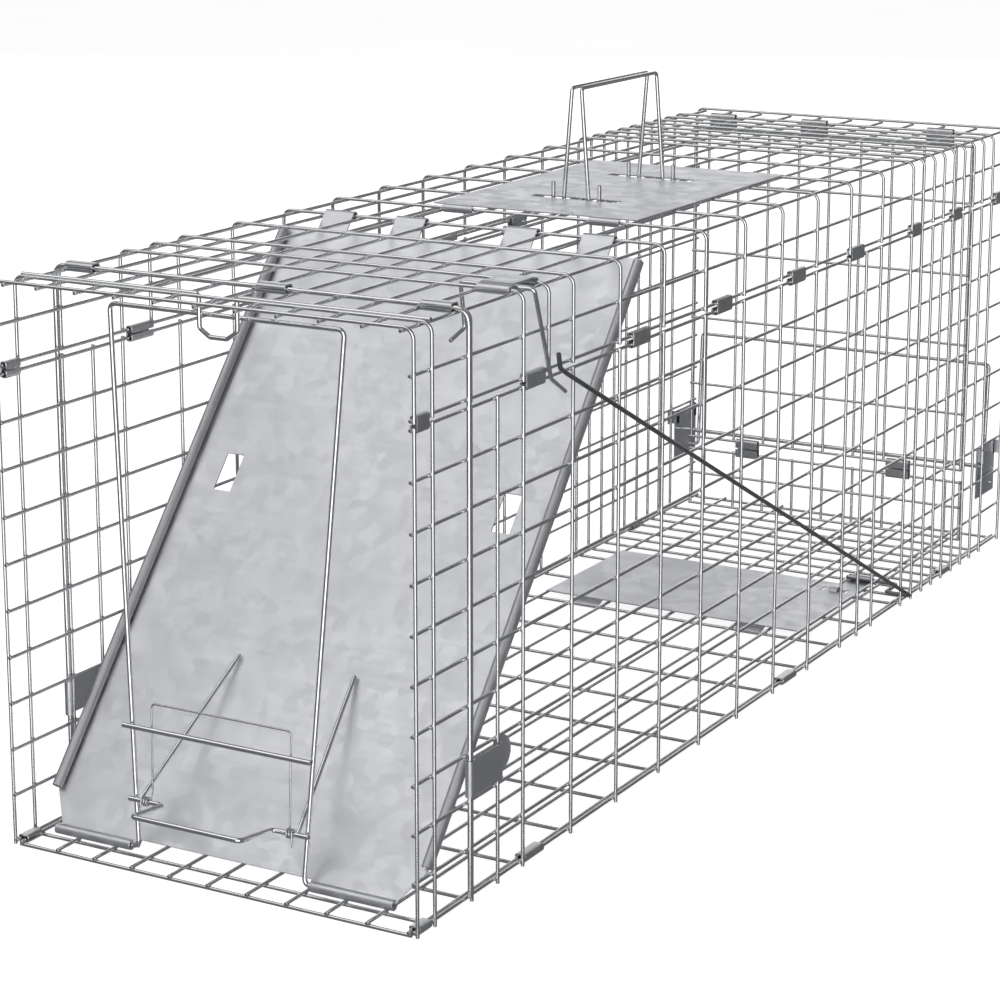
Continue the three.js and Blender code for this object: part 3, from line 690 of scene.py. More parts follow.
# ---------- the welded mesh box ----------
@dataclass
class MeshBox:
    """The floor, the two side walls and the upper shell, each of round wires welded where they cross."""

    shell_corner: float = 6.2
    overhang: float = 1.4
    wire_sides: int = 10
    floor_weld_z: float = 1.8
    wall_foot: float = 0.3
    wall_hoops: tuple[float, float] = (1.5 * T.pitch, 535.0)
    shell_hoop: float = 2.5 * T.pitch

    def wire(self, start: Sequence[float], stop: Sequence[float]) -> Skin:
        """A straight mesh wire."""
        return rod([start, stop], T.wire, self.wire_sides)

    def long_wires(self, places: Sequence[tuple[float, float]]) -> list[Skin]:
        """Wires that run the length of the trap at these (x, z)."""
        start, stop = T.y(-self.overhang), T.y(T.length + self.overhang)
        return [self.wire([x, start, z], [x, stop, z]) for x, z in places]

    def floor(self) -> list[Skin]:
        """The floor: cross wires below, long wires on them."""
        edge = T.wires_each_side * T.floor_pitch + self.overhang
        columns = T.floor_pitch * np.arange(-T.wires_each_side, T.wires_each_side + 1)
        level = 3 * T.radius - T.sink
        return [
            *[self.wire([-edge, y, T.radius], [edge, y, T.radius]) for y in T.hoops()],
            *self.long_wires([(x, level) for x in columns]),
            welds(crossings(columns, T.hoops(), self.floor_weld_z), LEVEL_BEAD),
        ]

    def side(self, way: int) -> list[Skin]:
        """A side wall: uprights outside, long wires inside.

        Args:
            way: 1 for the right wall, -1 for the left.

        Returns:
            Its skins.
        """
        outer = way * (T.half_width - T.radius)
        inner = way * (T.half_width - 3 * T.radius + T.sink)
        rows = T.side_row_z + T.side_pitch * np.arange(T.side_rows)
        top = rows[-1] + self.overhang
        uprights = T.hoops(*self.wall_hoops)
        return [
            *[self.wire([outer, y, self.wall_foot], [outer, y, top]) for y in uprights],
            *self.long_wires([(inner, z) for z in rows]),
            welds(crossings(way * (T.half_width - T.wire), uprights, rows), WALL_BEAD),
        ]

    def shell(self) -> list[Skin]:
        """The upper shell: hoops bent down at both sides, with the long wires inside them."""
        x, z = T.half_width - T.radius, T.hoop_z
        corner = self.shell_corner - T.radius
        bend = arc((x - corner, z - corner), corner, 0, 90, 15)
        half_hoop = np.insert(np.vstack([[[x, T.seam_z - self.overhang]], bend]), 1, 0.0, axis=1)
        hoops = T.hoops(self.shell_hoop)
        level = T.height - 3 * T.radius + T.sink
        beside = T.half_width - 3 * T.radius + T.sink
        last = T.half_width - self.shell_corner - T.radius - 0.1
        inner = T.wires_each_side - 1
        columns = np.append(T.top_pitch * np.arange(-inner, inner + 1), [-last, last])
        heights = (T.seam_z, T.shell_side_z)
        welded = T.half_width - T.wire
        return [
            *[rod(both_halves(half_hoop) + (0, y, 0), T.wire, self.wire_sides) for y in hoops],
            *self.long_wires([(a, level) for a in columns]),
            *self.long_wires([(way * beside, h) for _, way in SIDES for h in heights]),
            welds(crossings(columns, hoops, T.height - T.wire), LEVEL_BEAD),
            welds(crossings((-welded, welded), hoops, heights), WALL_BEAD),
        ]

    def build(self, shop: Workshop) -> None:
        """Makes the four panels."""
        shop.place("floor_mesh", self.floor(), Slot.MESH_WIRE, "cage", "floor_panel")
        for name, way in SIDES:
            shop.place(f"{name}_side_mesh", self.side(way), Slot.MESH_WIRE, "cage", f"{name}_side_panel")
        shop.place("upper_shell_mesh", self.shell(), Slot.MESH_WIRE, "cage", "upper_shell")


# ---------- clips that join the panels ----------
def flat_loop(x: Sequence[float], z: Sequence[float], slit: float, corner: float = 1.1) -> Array:
    """A flattened sleeve, open along a narrow slit on its first side: straight runs with rounded corners.

    Args:
        x: Its two sides; the slit is on the first.
        z: Its bottom and top.
        slit: The slit's width.
        corner: The corners' radius.

    Returns:
        Flat points from one lip of the slit to the other.
    """
    middle = (z[0] + z[1]) / 2
    near, far = x[0] + corner, x[1] - corner
    low, high = z[0] + corner, z[1] - corner
    centres = ((near, low), (far, low), (far, high), (near, high))
    bends = [arc(centre, corner, 180 + 90 * i, 270 + 90 * i, 18) for i, centre in enumerate(centres)]
    return np.vstack([[[x[0], middle - slit / 2]], *bends, [[x[0], middle + slit / 2]]])


@dataclass
class PanelClips:
    """Sheet clips crimped round the wires where two panels meet."""

    seam_places: tuple[float, ...] = (8, 114.3, 228.6, 330.2, 431.8, 521.5, 618.8, 692.5, 775.5)
    base_places: tuple[float, ...] = (8, 114.3, 431.8, 692.5)
    long: float = 19.0
    short: float = 14.0
    shortest: float = 11.0
    seam_drop: float = 2.6
    seam_slit: float = 0.8
    base_slit: float = 0.5

    def length(self, s: float) -> float:
        """A clip's length, which depends on the hoops beside it."""
        if s < T.second_hoop:
            return self.shortest
        return self.short if T.pitch * (T.main_hoops - 1) < s < T.rear_hoops[-2] else self.long

    def build(self, shop: Workshop) -> None:
        """Makes all the clips on both sides."""
        outside = T.half_width - T.wire + T.wrap
        seam = flat_loop(
            (T.inner_x - T.wrap, outside),
            (T.seam_z - T.radius - T.wire - self.seam_drop - T.wrap, T.seam_z + T.radius + T.wrap),
            self.seam_slit,
        )
        base = flat_loop(
            (T.wires_each_side * T.floor_pitch - T.radius - T.wrap, outside),
            (T.wire - T.wrap, T.floor_top + T.wrap), self.base_slit,
        )
        kinds = (("seam_clip", seam, self.seam_places), ("base_clip", base, self.base_places))
        for kind, loop, places in kinds:
            for number, s in enumerate(places, 1):
                half = self.length(s) / 2
                for side, way in SIDES:
                    node = f"{side}_{kind}_{number}"
                    skin = strip(loop * (way, 1), Run.Y, (T.y(s) - half, T.y(s) + half))
                    shop.place(f"{node}_crimp", [skin], Slot.CLIP, "cage", node, EDGE_ROUNDING)


# ---------- the front frame ----------
@dataclass
class FrontFrame:
    """The heavy rod round the mouth, its sleeves and side plates, and the rod with the ring."""

    rod_size: float = 2.6
    frame_foot: float = 3.0
    frame_bend: float = 8.0
    sleeve_places: tuple[float, float, float] = (-104.0, T.cell(0), 104.0)
    sleeve_half: float = 8.5
    plate_levels: tuple[float, float] = (55.0, 73.5)
    tongue_inset: float = 1.2
    tongue_end: float = 9.2
    ring_size: float = 2.4
    ring_s: float = 19.0
    ring_end_x: float = 118.0
    ring_points: tuple[tuple[float, float], ...] = ((11.0, 277.0), (5.0, 273.0))

    @property
    def y(self) -> float:
        """The frame rod's place, just in front of the second hoop."""
        return T.y(T.pitch) - T.radius - T.gap - self.rod_size / 2

    @property
    def rod_x(self) -> float:
        """The frame rod's upright runs, outside the side walls' long wires."""
        return T.half_width - T.wire + T.gap + self.rod_size / 2

    def plate(self, way: int) -> Skin:
        """A side plate: round the rod, along the wall and in behind the next upright but one."""
        wall = T.half_width + T.wrap
        behind = T.y(1.5 * T.pitch) + T.radius + T.wrap
        inside = T.inner_x - self.tongue_inset
        turn = arc((self.rod_x, self.y), self.rod_size / 2 + T.wrap, 190, 380, 14)
        folds = bent([
            [wall, self.y + 4, 0], [wall, behind, 0], [inside, behind + 1.5, 0], [inside, behind + 8, 0],
        ], 0.8, 5)[:, :2]
        tongue = np.stack([np.full(12, inside), behind + 8 + np.linspace(0.8, 10, 12)], -1)
        path = np.vstack([turn, [[wall, self.y + 3.2]], folds, tongue])
        return strip(path * (way, 1), Run.Z, self.plate_levels, tongue=self.tongue_end)

    def ring_rod(self) -> Skin:
        """The rod over the front of the top with the two hooked ends that make the ring."""
        y, level = T.y(self.ring_s), T.height - T.wire + T.gap + self.ring_size / 2
        hooks = [[x, y, z] for x, z in self.ring_points]
        half = [[self.ring_end_x, y, level], [self.ring_points[0][0], y, level], *hooks]
        return rod(bent(both_halves(half), 2.4), self.ring_size, 16)

    def build(self, shop: Workshop) -> None:
        """Makes the rod, its sleeves and plates, and the ring's rod."""
        x = self.rod_x
        z = T.height - T.wire + T.gap + self.rod_size / 2
        frame = bent(both_halves([[x, self.y, self.frame_foot], [x, self.y, z]]), self.frame_bend)
        shop.place(
            "mouth_frame_rod", [rod(frame, self.rod_size, 18)], Slot.BRIGHT_ROD, "cage", "front_frame_rod"
        )
        under = T.height - T.wire
        loop = flat_loop(
            (self.y - self.rod_size / 2 - T.wrap, T.y(T.pitch) + T.radius + T.wrap),
            (under - T.wrap, under + T.gap + self.rod_size + T.wrap), 0.8, 1.6,
        )
        for number, place in enumerate(self.sleeve_places, 1):
            node = f"frame_sleeve_{number}"
            skin = strip(loop, Run.X, (place - self.sleeve_half, place + self.sleeve_half))
            shop.place(f"{node}_crimp", [skin], Slot.CLIP, "cage", node, EDGE_ROUNDING)
        for side, way in SIDES:
            node = f"{side}_rod_plate"
            shop.place(f"{node}_sheet", [self.plate(way)], Slot.SHEET, "cage", node, EDGE_ROUNDING)
        shop.place("ring_rod", [self.ring_rod()], Slot.BRIGHT_ROD, "cage", "hook_rod")


# ---------- the door ----------
@dataclass
class Door:
    """The sloping sheet door: plate with two windows, hinge curls, rolled edges and the two foot tubes.

    A window is given by its near and far side and its low and high edge, in the door's own frame.
    """

    foot_s: float = 10.5
    foot_z: float = 9.0
    tube_radius: float = 2.3
    half_width: float = 111.0
    top: float = -11.0
    roll: float = 2.5
    roll_start: float = 21.0
    tubes: tuple[float, float] = (54.0, 101.0)
    notch_margin: float = 3.0
    notch_height: float = 4.0
    hinge_cells: tuple[int, ...] = (-4, -2, 1, 3)
    window: tuple[float, float, float, float] = (80.5, 91.0, -176.0, -154.0)
    swell: float = 0.25

    @property
    def hinge(self) -> tuple[float, float]:
        """The hinge hoop's (y, z)."""
        return T.y(5 * T.pitch), T.hoop_z

    @property
    def face(self) -> float:
        """The middle of the plate in the door's own frame."""
        return -T.curl

    @property
    def length(self) -> float:
        """From the hinge to the foot tubes' level, down the plate."""
        distance = math.hypot(T.y(self.foot_s) - self.hinge[0], self.foot_z - self.hinge[1])
        return math.sqrt(distance**2 - (self.face - self.tube_radius) ** 2)

    @property
    def slope(self) -> float:
        """The plate's lean from upright, in radians."""
        toward = math.atan2(self.hinge[0] - T.y(self.foot_s), self.hinge[1] - self.foot_z)
        return toward - math.atan2(self.tube_radius - self.face, self.length)

    def hang(self) -> Callable[[Array], Array]:
        """Places points of the door's own frame in the trap."""
        return tilt(-self.slope, (0, *self.hinge))

    def plate(self) -> Skin:
        """The plate as a grid whose lines follow the windows, with a slight oil-can swell between its edges.

        The swell is a few tenths of a millimetre times a product of sines across and down the plate.

        Returns:
            The plate's skin in the door's own frame.
        """
        bottom = -self.length
        near, far, low, high = self.window
        notch = self.tubes[0] - self.notch_margin
        marks = [near, far, notch, self.half_width]
        columns = np.unique(np.round([*np.linspace(-72, 72, 25), *marks, *np.negative(marks)], 3))
        rows = np.unique([
            *np.linspace(bottom + 20, low - 8, 14), *np.linspace(high + 8, self.top, 12), low, high,
            *[bottom + up for up in (0, 2, self.notch_height, 8, 16)],
        ])
        x, z = np.meshgrid(columns, rows, indexing="ij")
        narrow = np.interp(rows, [bottom, bottom + 2, bottom + 20], [10.0, 11.0, 0.0])[None, :]
        beyond = np.clip((np.abs(x) - far) / (self.half_width - far), 0, 1)
        swell = self.swell * np.sin(np.pi * x / self.half_width + 0.6) * np.sin(2 * np.pi * z / self.length)
        swell *= np.clip((z - bottom) / 40, 0, 1) * np.clip((self.top - z) / 40, 0, 1)
        middle = np.stack([x - np.sign(x) * beyond * narrow, self.face + swell, z], -1)
        mid_x, mid_z = cell_middles(columns, rows)
        mid_x = np.abs(mid_x)
        window = (mid_x > near) & (mid_x < far) & (mid_z > low) & (mid_z < high)
        between = (mid_x < notch) & (mid_z < bottom + self.notch_height)
        return slab(middle, (0, 1, 0), keep=~(window | between))

    def build(self, shop: Workshop) -> None:
        """Makes the door in one piece."""
        bottom = -self.length
        curl = np.vstack([arc((0, 0), T.curl, -60, 180, 8), [[self.face, self.top - 6]]])
        tube = np.vstack([
            [[self.face, bottom + 3]], arc((self.face - self.tube_radius, bottom), self.tube_radius, 0, -270),
        ])
        middle = (self.half_width, self.face - self.roll)
        edge = np.vstack([[[self.half_width - 3, self.face]], arc(middle, self.roll, 90, -190)])
        upright = (bottom + self.roll_start, self.top - 3)
        skins = [self.plate(), *[strip(curl, Run.X, T.tab(cell)) for cell in self.hinge_cells]]
        for _, way in SIDES:
            # The rolled edges are darkened in colour as a painted dark reflection of the surroundings.
            skins.append(strip(edge * (way, 1), Run.Z, upright, tarnish_and_reflection=ROLL_PAINTED_REFLECTION))
            skins.append(strip(tube, Run.X, sorted((way * self.tubes[0], way * self.tubes[1]))))
        skins = [skin.moved(self.hang()) for skin in skins]
        shop.place("door_sheet", skins, Slot.SHEET, "door", "door_plate", EDGE_ROUNDING)


# ---------- the lock in front of the door ----------
@dataclass
class Lock:
    """The bail that props the door shut, its crossbar, the two-armed lever and the double spring.

    An arm's place is (x, distance up the door, distance off its face); the pedal's depth is how far it
    stands out.
    """

    door: Door
    bail_size: float = 2.5
    bar_size: float = 2.8
    lever_size: float = 2.6
    arm_size: float = 2.2
    spring_size: float = 1.0
    turns: int = 3
    top_s: float = 24.0
    top_z: float = 282.8
    foot_x: float = 49.5
    foot_end: float = 86.0
    top_x: float = 68.0
    pivot: float = 25.5
    bar_height: float = 63.0
    pedal_depth: float = 27.0
    arm_places: tuple[tuple[float, float, float], ...] = ((37.5, 89.5, 4.0), (35.0, 109.0, 0.0))
    spring_top: float = 76.0

    @property
    def rise(self) -> tuple[float, float]:
        """From the foot tubes' axis to the bail's top, as (y, z)."""
        return self.top_s - self.door.foot_s, self.top_z - self.door.foot_z

    @property
    def length(self) -> float:
        """The bail's length up its legs."""
        return math.hypot(*self.rise)

    @property
    def forward(self) -> float:
        """The lever's place in front of the legs."""
        return -(self.bail_size + self.lever_size) / 2 - T.gap

    def leg_x(self, height: float) -> float:
        """A leg's distance from the middle at a height above the foot."""
        return self.foot_x + (self.top_x - self.foot_x) * height / self.length

    def stand(self) -> Callable[[Array], Array]:
        """Places points of the bail's own frame in the trap."""
        return tilt(-math.atan2(*self.rise), (0, T.y(self.door.foot_s), self.door.foot_z))

    def arm_points(self) -> list[list[float]]:
        """The arm's bend and tip in the bail's frame, from places on the door's front face."""
        slope, lean = self.door.slope, math.atan2(*self.rise)
        c, s = math.cos(lean), math.sin(lean)
        found = []
        for x, up, lift in self.arm_places:
            out = -self.door.face + T.sheet / 2 + self.arm_size / 2 + T.gap + lift
            down = self.door.length - up
            y = self.door.hinge[0] - out * math.cos(slope) - down * math.sin(slope) - T.y(self.door.foot_s)
            z = self.door.hinge[1] + out * math.sin(slope) - down * math.cos(slope) - self.door.foot_z
            found.append([x, y * c - z * s, y * s + z * c])
        return found

    def lever(self) -> list[Skin]:
        """The pedal with its two pivots, and the two arms that rest on the door."""
        pedal = bent(both_halves([
            [self.leg_x(self.pivot) + 2.6, self.forward, self.pivot], [32.5, self.forward, self.pivot],
            [32.0, self.forward - self.pedal_depth, self.pivot + 2],
        ]), 3.2)
        arm = bent([[47, self.forward, self.pivot], *self.arm_points()], 6)
        arms = [rod(arm * (way, 1, 1), self.arm_size, 14) for _, way in SIDES]
        return [rod(pedal, self.lever_size, 16), *arms]

    def spring(self) -> Skin:
        """The double spring, one coil round each pivot.

        A coil is a helix, radius times (cos, sin), that steps along x.

        Returns:
            Both coils, their tails and the bridge between them as one skin.
        """
        radius = self.lever_size / 2 + T.gap + self.spring_size / 2
        share = np.arange(0, self.turns - 0.5 + 1e-6, 1 / 20)
        angle = 2 * np.pi * share
        coil = np.stack([
            45 - 1.5 * share, self.forward - radius * np.cos(angle), self.pivot + radius * np.sin(angle),
        ], -1)
        tail = [[45.6, self.forward - radius, self.pivot - 6]]
        top = [41.5, -0.85, self.spring_top]
        leg = [[41, self.forward + radius + 0.4, self.pivot + 6], top]
        bridge = bent([*leg, [-top[0], *top[1:]]], 3)[:-1]
        return rod(both_halves(np.vstack([tail, coil, bridge])), self.spring_size, 10)

    def build(self, shop: Workshop) -> None:
        """Makes the four pieces of the lock."""
        place, height = self.stand(), self.bar_height
        half = [[self.foot_end, 0, 0], [self.foot_x, 0, 0], [self.top_x, 0, self.length]]
        legs = bent(both_halves(half), 3.8)
        y = -(self.bail_size + self.bar_size) / 2 - T.gap
        bar = [[-self.leg_x(height) - 4, y, height], [self.leg_x(height) + 1, y, height]]
        pieces = (
            ("lock_bail_rod", [rod(legs, self.bail_size, 18)], Slot.BRIGHT_ROD, "bail", "lock_bail"),
            ("crossbar_rod", [rod(bar, self.bar_size, 18)], Slot.BRIGHT_ROD, "bail", "bail_crossbar"),
            ("lock_lever_rod", self.lever(), Slot.BRIGHT_ROD, "lever", "lock_lever"),
            ("lock_spring_wire", [self.spring()], Slot.SPRING_WIRE, "bail", "lock_spring"),
        )
        for name, skins, slot, body, node in pieces:
            shop.place(name, [skin.moved(place) for skin in skins], slot, body, node)


# ---------- the trigger ----------
@dataclass
class Trigger:
    """The prop lever and its cover, the long trigger rod and the pan on the floor.

    Outer legs and tips are (s, z) places; the crank is the (x, s) of the rod's step inside the wall.
    """

    prop_size: float = 2.2
    prop_s: float = 107.5
    prop_leg: tuple[tuple[float, float], ...] = ((122.5, 252.0), (125.0, 246.0), (139.7, 237.0))
    cover_x: tuple[float, float] = (94.9, 113.0)
    rod_size: float = 2.5
    rod_start_x: float = 72.0
    rod_tip: tuple[tuple[float, float], ...] = ((136.0, 247.0), (129.0, 251.0), (127.0, 259.0))
    crank: tuple[float, float] = (108.0, 613.8)
    axle: tuple[float, float] = (634.0, 6.8)
    pan_half: float = 91.0
    pan_rear: float = 623.0
    pan_lift: float = 0.5
    pan_dish: float = 0.2
    lances: tuple[tuple[float, float], ...] = ((66.0, 68.0), (82.0, 84.0))
    lance_s: tuple[float, float] = (603.0, 611.0)
    hook_x: tuple[float, float] = (49.0, 67.0)
    eye_x: float = 74.0
    strap_x: tuple[float, float] = (72.0, 78.0)
    strap_sheet: float = 0.7

    @property
    def prop_x(self) -> float:
        """The prop lever's outer leg, just outside the wall."""
        return T.half_width + 0.5 + self.prop_size / 2

    @property
    def rod_x(self) -> float:
        """The trigger rod, just outside the prop lever."""
        return self.prop_x + (self.prop_size + self.rod_size) / 2 + 0.4

    def prop(self) -> Skin:
        """The prop lever: an inner leg under the top, an axle over it and an outer leg down the wall."""
        y, z = T.y(self.prop_s), T.height - T.wire + T.gap + self.prop_size / 2
        inner, outer = T.cell(3), self.prop_x
        path = [
            [inner - 2, y - 7, 265], [inner, y + 4, 270], [inner, y, z], [outer, y, z],
            *[[outer, T.y(s), up] for s, up in self.prop_leg],
        ]
        return rod(bent(path, 2.2), self.prop_size, 16)

    def long_rod(self) -> Skin:
        """The trigger rod: through the pan's eye, forward inside the wall, out and up to the prop lever."""
        y, z = T.y(self.axle[0]), self.axle[1]
        outer, (inner, step) = self.rod_x, self.crank
        path = [
            [self.rod_start_x, y, z], [inner, y, z], [inner, T.y(step), z], [outer, T.y(step), z],
            *[[outer, T.y(s), up] for s, up in self.rod_tip],
        ]
        return rod(bent(path, 2.8), self.rod_size, 16)

    def cover(self) -> Skin:
        """The cover over the axle: rolled round the hoop in front and bent down behind."""
        front, rear = T.y(2 * T.pitch), T.y(2.5 * T.pitch)
        level = T.height - T.wire + self.prop_size + 2 * T.gap + T.sheet / 2 + 0.3
        corners = [[0, front + 1.2, level - 0.6], [0, front + 3, level], [0, rear - 2, level],
                   [0, rear - 0.6, level - 0.7]]
        turns = arc((front, T.hoop_z), T.curl, 300, 110), arc((rear, T.hoop_z), T.curl, 72, -80)
        path = np.vstack([turns[0], bent(corners, 1.5, 4)[:, 1:], turns[1]])
        return strip(path, Run.X, self.cover_x)

    def pan(self) -> list[Skin]:
        """The pan: a plate with two lanced slots, two curls round a floor wire and the eye of the rod."""
        z = T.floor_top + self.pan_lift + T.sheet / 2
        pivot = (T.y(10 * T.pitch), T.radius)
        front, rear = pivot[0] + 5, T.y(self.pan_rear)
        start, stop = (T.y(s) for s in self.lance_s)
        columns = np.unique([*np.linspace(-self.pan_half, self.pan_half, 21), *np.ravel(self.lances)])
        rows = np.unique([*np.linspace(front, rear, 17), start, stop])
        x, y = np.meshgrid(columns, rows, indexing="ij")
        across, along = (x / self.pan_half + 1) / 2, (y - front) / (rear - front)
        dish = self.pan_dish * np.sin(np.pi * across) * np.sin(np.pi * along)
        mid_x, mid_y = cell_middles(columns, rows)
        lanced = np.any([(mid_x > low) & (mid_x < high) for low, high in self.lances], axis=0)
        slot = lanced & (mid_y > start) & (mid_y < stop)
        hook = np.vstack([arc(pivot, T.curl, 190, 60, 8), [[front - 1, z - 0.6], [front + 1, z]]])
        axle = (T.y(self.axle[0]), self.axle[1])
        eye = np.vstack([[[rear - 1, z]], arc(axle, axle[1] - z, 270, 520)])
        raised = ((602.5, 0), (604.5, 2.6), (609.5, 2.6), (611.5, 0))
        strap = bent([[0, T.y(s), z + lift] for s, lift in raised], 1.2, 4)[:, 1:]
        return [
            slab(np.stack([x, y, z + dish], -1), UP, keep=~slot),
            *[strip(hook, Run.X, sorted((way * self.hook_x[0], way * self.hook_x[1]))) for _, way in SIDES],
            strip(eye, Run.X, (self.eye_x, self.pan_half)),
            strip(strap, Run.X, self.strap_x, self.strap_sheet),
        ]

    def build(self, shop: Workshop) -> None:
        """Makes the four pieces of the trigger."""
        shop.place("prop_lever_rod", [self.prop()], Slot.BRIGHT_ROD, "prop", "prop_lever")
        shop.place("lever_cover_sheet", [self.cover()], Slot.SHEET, "cage", "lever_bracket", EDGE_ROUNDING)
        shop.place("trigger_long_rod", [self.long_rod()], Slot.DARK_ROD, "rod", "trigger_rod")
        shop.place("pan_sheet", self.pan(), Slot.SHEET, "pan", "trigger_pan", EDGE_ROUNDING)


# ---------- the rear end ----------
@dataclass
class RearEnd:
    """The rear gate with its flap, their sleeves, and the rod, bail and brackets that hold them shut."""

    gate_s: float = 757.0
    half: float = 105.0
    top_depth: float = 9.0
    levels: tuple[float, ...] = (245.0, 195.0, 146.0, 97.0, 57.0)
    flap_levels: tuple[float, ...] = (48.0, 30.0, 6.95)
    gate_cells: tuple[int, ...] = (-4, -1, 3)
    flap_cells: tuple[int, ...] = (-3, 2)
    flap_sleeve: float = 17.0
    lock_size: float = 3.0
    lock_z: float = 60.5
    end_x: float = 118.5
    bail_size: float = 2.5
    bail_half: float = 111.0
    bail_s: float = 785.0
    bail_z: float = 44.0
    bail_top: float = 127.0
    bracket_s: tuple[float, float] = (756.0, 791.0)
    bracket_z: tuple[float, float] = (38.0, 74.0)
    curl_z: tuple[float, float] = (64.0, 73.5)

    @property
    def y(self) -> float:
        """The gate's plane."""
        return T.y(self.gate_s)

    @property
    def lock_y(self) -> float:
        """The lock rod's place behind the gate's uprights."""
        return self.y + 1.5 * T.wire + 0.45 + self.lock_size / 2

    def grille(self, levels: Sequence[float]) -> list[Skin]:
        """Level bars with upright bars behind them, welded where they cross."""
        inner, edge = T.wires_each_side - 1, self.half - T.radius
        places = np.append(T.top_pitch * np.arange(-inner, inner + 1), [-edge, edge])
        behind = self.y + T.wire - T.sink
        top, bottom = max(levels) + T.radius, min(levels) - T.radius
        return [
            *[rod([[-self.half, self.y, z], [self.half, self.y, z]], T.wire, 10) for z in levels],
            *[rod([[x, behind, bottom], [x, behind, top]], T.wire, 10) for x in places],
            welds(crossings(places, self.y + T.radius, levels), GATE_BEAD),
        ]

    def sleeve(self, span: Sequence[float], upper: float, lower: float) -> Skin:
        """A sheet loop round two level wires, open along a slit in front."""
        middle = (upper + lower) / 2
        path = np.vstack([
            [[self.y - T.curl, middle + 0.5]], arc((self.y, upper), T.curl, 180, 0, 12),
            arc((self.y, lower), T.curl, 0, -180, 12), [[self.y - T.curl, middle - 0.5]],
        ])
        return strip(path, Run.X, span, SLEEVE_SHEET)

    def bracket(self, way: int) -> list[Skin]:
        """A plate inside the side wall with a curl round each of the two uprights beside it."""
        inside = T.inner_x - T.wrap
        rows, levels = np.linspace(*(T.y(s) for s in self.bracket_s), 8), np.linspace(*self.bracket_z, 8)
        y, z = np.meshgrid(rows, levels, indexing="ij")
        skins = [slab(np.stack([np.full_like(y, way * inside), y, z], -1), (1, 0, 0))]
        for upright, turn in ((self.y, 1), (T.y(T.length), -1)):
            curl = arc((T.half_width - T.radius, upright), T.curl, turn * 90, -turn * 100)
            path = np.vstack([[[inside, upright + turn * 6], [inside, upright + turn * T.curl * 1.05]], curl])
            skins.append(strip(path * (way, 1), Run.Z, self.curl_z))
        return skins

    def build(self, shop: Workshop) -> None:
        """Makes the gate, the flap and all that holds them."""
        top = T.hoop_z - self.top_depth
        shop.place("gate_mesh", self.grille([top, *self.levels]), Slot.MESH_WIRE, "gate", "rear_gate")
        shop.place("flap_mesh", self.grille(self.flap_levels), Slot.MESH_WIRE, "flap", "rear_flap")
        sleeves = [
            (f"gate_sleeve_{number}", "cage", self.sleeve(T.tab(cell), T.hoop_z, top))
            for number, cell in enumerate(self.gate_cells, 1)
        ] + [
            (f"flap_sleeve_{number}", "gate",
             self.sleeve(T.tab(cell, self.flap_sleeve), self.levels[-1], self.flap_levels[0]))
            for number, cell in enumerate(self.flap_cells, 1)
        ]
        for node, body, skin in sleeves:
            shop.place(f"{node}_crimp", [skin], Slot.CLIP, body, node, SLEEVE_ROUNDING)
        bolt = [[way * self.end_x, self.lock_y, self.lock_z] for way in (-1, 1)]
        shop.place(
            "gate_bolt_rod", [rod(bolt, self.lock_size, 18)], Slot.BRIGHT_ROD, "lock_rod", "rear_lock_rod"
        )
        x, y, z = self.bail_half, T.y(self.bail_s), self.bail_z
        bail = bent(both_halves([[self.end_x, y, z], [x, y, z], [x, y + 5, self.bail_top]]), 3.2)
        bail_rod = rod(bail, self.bail_size, 18)
        shop.place("rear_bail_rod", [bail_rod], Slot.BRIGHT_ROD, "rear_bail", "rear_bail")
        for side, way in SIDES:
            node = f"{side}_rear_bracket"
            shop.place(f"{node}_sheet", self.bracket(way), Slot.SHEET, "cage", node, EDGE_ROUNDING)


